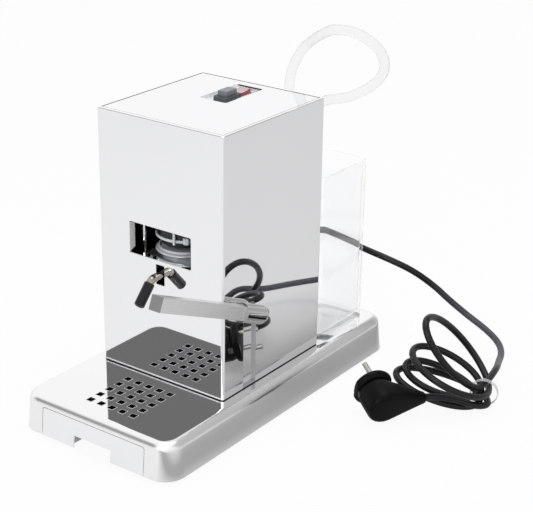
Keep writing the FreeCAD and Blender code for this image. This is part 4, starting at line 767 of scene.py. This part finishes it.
def makeWindowEdges():
    made = bmesh.new()
    half, low, high = windowEdge["half"], windowEdge["low"], windowEdge["high"]
    middle = (low + high) / 2
    for firstX, firstZ, lastX, lastZ in ((-half, low, -half, high), (half, high, half, low),
                                         (half, low, -half, low), (-half, high, half, high)):
        first, last = Vector((firstX, 0, firstZ)), Vector((lastX, 0, lastZ))
        along = (last - first).normalized()
        inward = (Vector((0, 0, middle)) - (first + last) / 2).normalized() * windowEdge["thickness"]
        corners = []
        level = firstZ == lastZ
        end = windowEdge["rimEnd"] if level else windowEdge["end"]
        for y, back in ((windowEdge["front"], windowEdge["mitre"]), (windowEdge["wall"], windowEdge["mitre"]),
                        (end, windowEdge["rimMitre"] if level else windowEdge["relief"])):
            corners.append((first + along * back, last - along * back, y))
        outline = [Vector((c[0].x, c[2], c[0].z)) for c in corners]
        outline += [Vector((c[1].x, c[2], c[1].z)) for c in reversed(corners)]
        near = [made.verts.new(at(*p)) for p in outline]
        far = [made.verts.new(at(*(p + inward))) for p in outline]
        made.faces.new(near)
        made.faces.new(list(reversed(far)))
        for k in range(len(near)):
            after = (k + 1) % len(near)
            made.faces.new((near[k], far[k], far[after], near[after]))
    addMesh("windowEdges", meshOf(made, "windowEdges"), "recessSatin", "machine", 20)


makeWindowEdges()

# Satin pan of the switch recess, with a rolled-in slope

recessPan = {
    "middle": (-3.5, 29.9), "half": (14.45, 27.95), "corner": 3.0, "top": 281.15, "floor": 277.5,
    "hole": (-3.5, 32.6, 7.3, 20.2), "holeCorner": 1.5, "sheet": 0.12,
}


def recessRing(inset, z):
    (middleX, middleY), (halfX, halfY) = recessPan["middle"], recessPan["half"]
    outline = roundedRect(halfX - inset, halfY - inset, recessPan["corner"], 6)
    return [at(middleX + x, middleY + y, z) for x, y in outline]


def makeRecessPan():
    holeX, holeY, holeHalfX, holeHalfY = recessPan["hole"]
    floor, top = recessPan["floor"], recessPan["top"]
    under = floor - recessPan["sheet"]
    rings = [recessRing(*place) for place in (
        (0.0, top), (0.5, top - 1.2), (1.0, floor + 0.9), (1.8, floor + 0.2), (2.8, floor))]
    for z in (floor, under):
        outline = roundedRect(holeHalfX, holeHalfY, recessPan["holeCorner"], 6)
        rings.append([at(holeX + x, holeY + y, z) for x, y in outline])
    rings += [recessRing(*place) for place in (
        (2.6, under), (1.5, floor + 0.1), (0.7, floor + 0.9), (0.15, top - 1.2))]
    addMesh("recessPan", looped("recessPan", rings), "recessSatin", "machine", 35)


makeRecessPan()

# Pan-head screws of the rear panel, with a cross in each head

rearScrews = {
    "sides": (-62.5, 62.5), "heights": (44.5, 155.5, 266.5), "seat": 71.5, "head": 1.8, "crown": 0.9,
    "radius": 3.6, "rings": (0.25, 0.5, 0.8, 1.2, 1.6, 1.95, 2.1, 2.6, 3.1, 3.45, 3.6), "segments": 48,
    "armHalf": 0.5, "armReach": 2.0, "armDepth": 1.1, "shank": 1.9, "shankLength": 6.0, "underHead": 0.02,
}


def screwRise(radius, dx, dz):
    # Height of the head over its seat: domed, with a cross sunk in its middle
    rise = rearScrews["head"] - rearScrews["crown"] * (radius / rearScrews["radius"]) ** 4
    inArm = min(abs(dx), abs(dz)) < rearScrews["armHalf"] and radius < rearScrews["armReach"]
    return rise - (rearScrews["armDepth"] if inArm else 0)


def makeRearScrews():
    made = bmesh.new()
    count, seat, under = (rearScrews[k] for k in ("segments", "seat", "underHead"))
    turns = [2 * math.pi * (k + 0.5) / count for k in range(count)]
    for x in rearScrews["sides"]:
        for z in rearScrews["heights"]:
            rows = []
            for radius in rearScrews["rings"]:
                spots = [(radius * math.cos(a), radius * math.sin(a)) for a in turns]
                rows.append([made.verts.new(at(x + dx, seat + screwRise(radius, dx, dz), z + dz))
                             for dx, dz in spots])
            for radius, y in ((rearScrews["radius"], under), (rearScrews["shank"], under),
                              (rearScrews["shank"], -rearScrews["shankLength"])):
                rows.append([made.verts.new(at(x + radius * math.cos(a), seat + y, z + radius * math.sin(a)))
                             for a in turns])
            bridge(made, rows)
            made.faces.new(rows[0])
            made.faces.new(rows[-1])
    screws = addMesh("rearScrewHeads", meshOf(made, "rearScrewHeads"), "sheetSteel", "machine",
                     30)
    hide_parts("rear_panel_screws")


makeRearScrews()
print("window edges, recess pan and rear screws made")

# Rims of the drain holes: a flat square rim round each hole, proud of the top by a hair

drain = {
    "count": 5, "pitch": 12.3, "hole": 6.3, "middle": -119.5, "top": 37.5, "proud": 0.16, "wall": 0.03,
    "lip": 0.3, "bevel": 0.08, "seat": 0.01,
}


def squareRing(made, x, y, half, z):
    corners = ((-1, -1), (1, -1), (1, 1), (-1, 1))
    return [made.verts.new(at(x + a * half, y + b * half, z)) for a, b in corners]


def makeDrainRims():
    made = bmesh.new()
    half, seat = drain["hole"] / 2, drain["top"] + drain["seat"]
    top = drain["top"] + drain["proud"]
    inner, outer = half - drain["wall"], half + drain["lip"]
    centre = (drain["count"] - 1) / 2
    for row in range(drain["count"]):
        for column in range(drain["count"]):
            x, y = (column - centre) * drain["pitch"], drain["middle"] + (row - centre) * drain["pitch"]
            rings = [squareRing(made, x, y, *place) for place in (
                (outer, seat), (outer - drain["bevel"], top), (inner, top), (inner, seat))]
            bridge(made, rings + rings[:1])
    addMesh("drainRims", meshOf(made, "drainRims"), "paleSatin", "machine", 20)


makeDrainRims()

# Bright bead along the foot of the casing's front

footBead = {
    "half": 68.6, "front": -76.5, "low": 38.55, "height": 1.3, "proud": 0.75, "steps": 6, "endSize": 0.3,
}


def makeFootBead():
    rings = []
    for share in (-1.0, -0.995, 0.995, 1.0):
        size = footBead["endSize"] if abs(share) == 1.0 else 1.0
        ring = []
        for k in range(footBead["steps"] + 1):
            a = math.pi * k / footBead["steps"]
            y = footBead["front"] - footBead["proud"] * size * math.sin(a)
            z = footBead["low"] + footBead["height"] / 2 * (1 + size * math.cos(a))
            ring.append(at(footBead["half"] * share, y, z))
        rings.append(ring)
    addMesh("footBead", skinned("footBead", rings), "paleSatin", "machine", 60)


makeFootBead()

# Lining of the lever shaft's slot, from the outer face in to the plate behind it

shaftSlot = {
    "middle": -38.0, "half": 9.3, "round": 111.0, "foot": 38.55, "outer": 69.95, "inner": 67.52,
    "gap": 0.02, "wall": 0.35, "steps": 18,
}


def slotOutline(inset):
    middle, half, foot = shaftSlot["middle"], shaftSlot["half"] - inset, shaftSlot["foot"] + inset
    line = [(middle - half, foot)]
    for k in range(shaftSlot["steps"] + 1):
        a = math.pi * (1 - k / shaftSlot["steps"])
        line.append((middle + half * math.cos(a), shaftSlot["round"] + half * math.sin(a)))
    return line + [(middle + half, foot)]


def makeSlotLining():
    gap, wall, outer, inner = (shaftSlot[k] for k in ("gap", "wall", "outer", "inner"))
    rings = [[at(x, y, z) for y, z in slotOutline(inset)]
             for inset, x in ((gap, outer), (gap, inner), (wall, inner), (wall, outer))]
    addMesh("slotLining", looped("slotLining", rings), "liningSteel", "machine", 30)


makeSlotLining()
print("drain rims, foot bead and slot lining made")

# Clamp round the brew group, with its pin and nut, seen through the window

groupClamp = {
    "middle": (0.0, -42.0), "radius": 25.0, "low": 169.6, "band": 2.6, "bandInner": 25.03,
    "bandEdge": 25.7, "bandOuter": 26.1, "round": 0.4, "pinOut": 1.15, "nutOut": 0.4, "nutBevel": 0.35,
    "pin": (19.0, 168.2, 181.0, 1.25), "nut": (42.0, 170.0, 176.0, 3.1),  # turn, low, high, radius
}


def onGroup(turn, out, z):
    a = math.radians(turn)
    x, y = groupClamp["middle"]
    reach = groupClamp["radius"] + out
    return at(x + reach * math.sin(a), y - reach * math.cos(a), z)


def makeGroupClamp():
    band, ease = groupClamp["band"], groupClamp["round"]
    inner, edge, outer = (groupClamp[k] for k in ("bandInner", "bandEdge", "bandOuter"))
    profile = [(0.0, inner), (0.0, edge), (ease, outer), (band - ease, outer), (band, edge), (band, inner)]
    low = at(*groupClamp["middle"], groupClamp["low"])
    addMesh("groupClampBand", hoop("groupClampBand", profile, low, upWay, 96), "holderSatin", "machine",
            30)
    turn, low, high, radius = groupClamp["pin"]
    profile = [(0, radius - 0.4), (0.4, radius), (high - low - 0.9, radius), (high - low - 0.3, radius - 0.3),
               (high - low, radius - 0.9)]
    foot = onGroup(turn, radius + groupClamp["pinOut"], low)
    addMesh("groupPin", turned("groupPin", profile, foot, upWay, 24), "holderSatin", "machine", 40)
    turn, low, high, radius = groupClamp["nut"]
    corners = [math.radians(60 * k + turn) for k in range(6)]
    bevel = groupClamp["nutBevel"]
    rings = []
    for share, grow in ((0.0, -bevel), (0.06, 0.0), (0.94, 0.0), (1.0, -bevel)):
        middle = onGroup(turn, radius + groupClamp["nutOut"], low + (high - low) * share)
        reach = (radius + grow) * mm
        rings.append([middle + Vector((math.cos(v), math.sin(v), 0)) * reach for v in corners])
    addMesh("groupNut", skinned("groupNut", rings), "holderSatin", "machine", 20)


makeGroupClamp()

# Dark seams where the recess meets the cover, along its rear and right edges

recessSeam = {
    "rear": (-17.2, 10.2, 57.55, 0.75),  # left end, right end, middle, half width
    "right": (10.75, 3.5, 56.8, 0.22),  # middle, front end, rear end, half width
    "top": 281.3, "low": 280.6,
}


def makeRecessSeams():
    made = bmesh.new()
    left, right, y, half = recessSeam["rear"]
    x, front, rear, halfX = recessSeam["right"]
    for corners in ([(left, y - half * 0.4), (left + 1.0, y - half), (right, y - half),
                     (right + 0.5, y + half), (left + 1.0, y + half)],
                    [(x - halfX, front), (x + halfX, front + 0.4), (x + halfX, rear), (x - halfX, rear)]):
        rows = [[made.verts.new(at(a, b, recessSeam[level])) for a, b in corners] for level in ("low", "top")]
        for row in rows:
            made.faces.new(row)
        bridge(made, rows)
    addMesh("recessSeams", meshOf(made, "recessSeams"), "softRubber", "machine", 20)


makeRecessSeams()
print("group clamp and recess seams made")

# Studio: white floor and backdrop; only the steel sees the dark and grey parts of the sky

studio = {
    "floorHalf": 3.0, "light": 0.62,
    "darkAim": (-0.587, -0.67, 0.45), "darkFrom": 0.93, "darkTo": 0.975, "darkSky": 0.17,
    "greyAim": (0.45, 0.7, 0.55), "greyFrom": 0.62, "greyTo": 0.85, "greySky": 0.5,
    "seenGlow": 0.93, "mirrorShare": 0.62, "mirrorFront": 0.95, "mirrorRear": 0.66,
    # painted shadow on the floor just beside the right side, seen only in the steel
    "paintedShadowBeside": [(0.07, 1.0), (0.105, 0.18), (0.124, 0.2), (0.155, 0.7), (0.21, 1.0)],
    "paper": 0.92, "mirrorReach": (-0.12, 0.1),
    "lamps": [  # name, place, aim, size, power
        ("softLampAbove", (0.2, 0.3, 1.9), (0, 0, 0.1), (1.4, 1.0), 9.0),
        ("softLampFront", (0.45, -1.35, 0.85), (0, -0.05, 0.16), (0.7, 0.5), 4.0),
    ],
}


def makeFloor():
    made = bmesh.new()
    bmesh.ops.create_grid(made, x_segments=8, y_segments=8, size=studio["floorHalf"])
    mesh = bpy.data.meshes.new("floor")
    made.to_mesh(mesh)
    made.free()
    floor = bpy.data.objects.new("floor", mesh)
    scene.collection.objects.link(floor)
    mat, tree, skin = newMaterial("whiteFloor")
    tree.nodes.remove(skin)
    paper = addNode(tree, "ShaderNodeBsdfDiffuse", Color=(*[studio["paper"]] * 3, 1))
    glow = addNode(tree, "ShaderNodeEmission", Strength=1.0)
    dimGlow = tree.nodes.new("ShaderNodeEmission")
    path = tree.nodes.new("ShaderNodeLightPath")
    seen = combined(tree, "MAXIMUM", path.outputs["Is Camera Ray"], path.outputs["Is Transmission Ray"])
    plain = combined(tree, "MULTIPLY", seen, studio["seenGlow"])
    # in the steel the floor is brighter towards the front than behind, a painted light and shade, and darkest
    # just beside the right side, a painted shadow
    coord = tree.nodes.new("ShaderNodeTexCoord")
    toRear = alongWay(tree, coord.outputs["Object"], rearRight)
    share = spread(tree, toRear, studio["mirrorFront"], studio["mirrorRear"], *studio["mirrorReach"])
    split = tree.nodes.new("ShaderNodeSeparateXYZ")
    tree.links.new(coord.outputs["Object"], split.inputs[0])
    paintedShadowRamp = tree.nodes.new("ShaderNodeValToRGB")
    marks = paintedShadowRamp.color_ramp.elements
    for place, tone in studio["paintedShadowBeside"][2:]:
        marks.new(place)
    for mark, (place, tone) in zip(marks, studio["paintedShadowBeside"]):
        mark.position = place
        mark.color = (tone, tone, tone, 1)
    tree.links.new(split.outputs["X"], paintedShadowRamp.inputs["Fac"])
    tree.links.new(combined(tree, "MULTIPLY", share, paintedShadowRamp.outputs["Color"]), dimGlow.inputs["Strength"])
    mirrored = combined(tree, "MULTIPLY", path.outputs["Is Glossy Ray"], studio["mirrorShare"])
    lit = mixedShader(tree, mirrored, paper.outputs[0], dimGlow.outputs[0])
    whole = mixedShader(tree, plain, lit, glow.outputs[0])
    tree.links.new(whole, tree.nodes["Material Output"].inputs["Surface"])
    mesh.materials.append(mat)


def makeWorld():
    world = bpy.data.worlds.new("studio")
    scene.world = world
    world.use_nodes = True
    tree = world.node_tree
    tree.nodes.clear()
    out = tree.nodes.new("ShaderNodeOutputWorld")
    path = tree.nodes.new("ShaderNodeLightPath")
    lit = addNode(tree, "ShaderNodeBackground", Color=(1, 1, 1, 1), Strength=studio["light"])
    plain = addNode(tree, "ShaderNodeBackground", Color=(1, 1, 1, 1), Strength=1.0)
    mirrored = addNode(tree, "ShaderNodeBackground", Color=(1, 1, 1, 1))
    coord = tree.nodes.new("ShaderNodeTexCoord")
    shades = []
    for part in ("dark", "grey"):
        aim, sky, start, end = (studio[part + k] for k in ("Aim", "Sky", "From", "To"))
        towards = alongWay(tree, coord.outputs["Generated"], Vector(aim).normalized())
        shades.append(spread(tree, towards, 1.0, sky, start, end))
    tree.links.new(combined(tree, "MINIMUM", *shades), mirrored.inputs["Strength"])
    clearView = combined(tree, "MAXIMUM", path.outputs["Is Camera Ray"], path.outputs["Is Transmission Ray"])
    reflected = mixedShader(tree, path.outputs["Is Glossy Ray"], lit.outputs[0], mirrored.outputs[0])
    tree.links.new(mixedShader(tree, clearView, reflected, plain.outputs[0]), out.inputs["Surface"])


def makeLamp(name, place, aim, size, power):
    data = bpy.data.lights.new(name, "AREA")
    data.shape = "RECTANGLE"
    data.size, data.size_y = size
    data.energy = power
    lamp = bpy.data.objects.new(name, data)
    lamp.location = place
    lamp.rotation_euler = (Vector(place) - Vector(aim)).to_track_quat("Z", "Y").to_euler()
    scene.collection.objects.link(lamp)


makeFloor()
makeWorld()
for lampRow in studio["lamps"]:
    makeLamp(*lampRow)
print("studio lit")
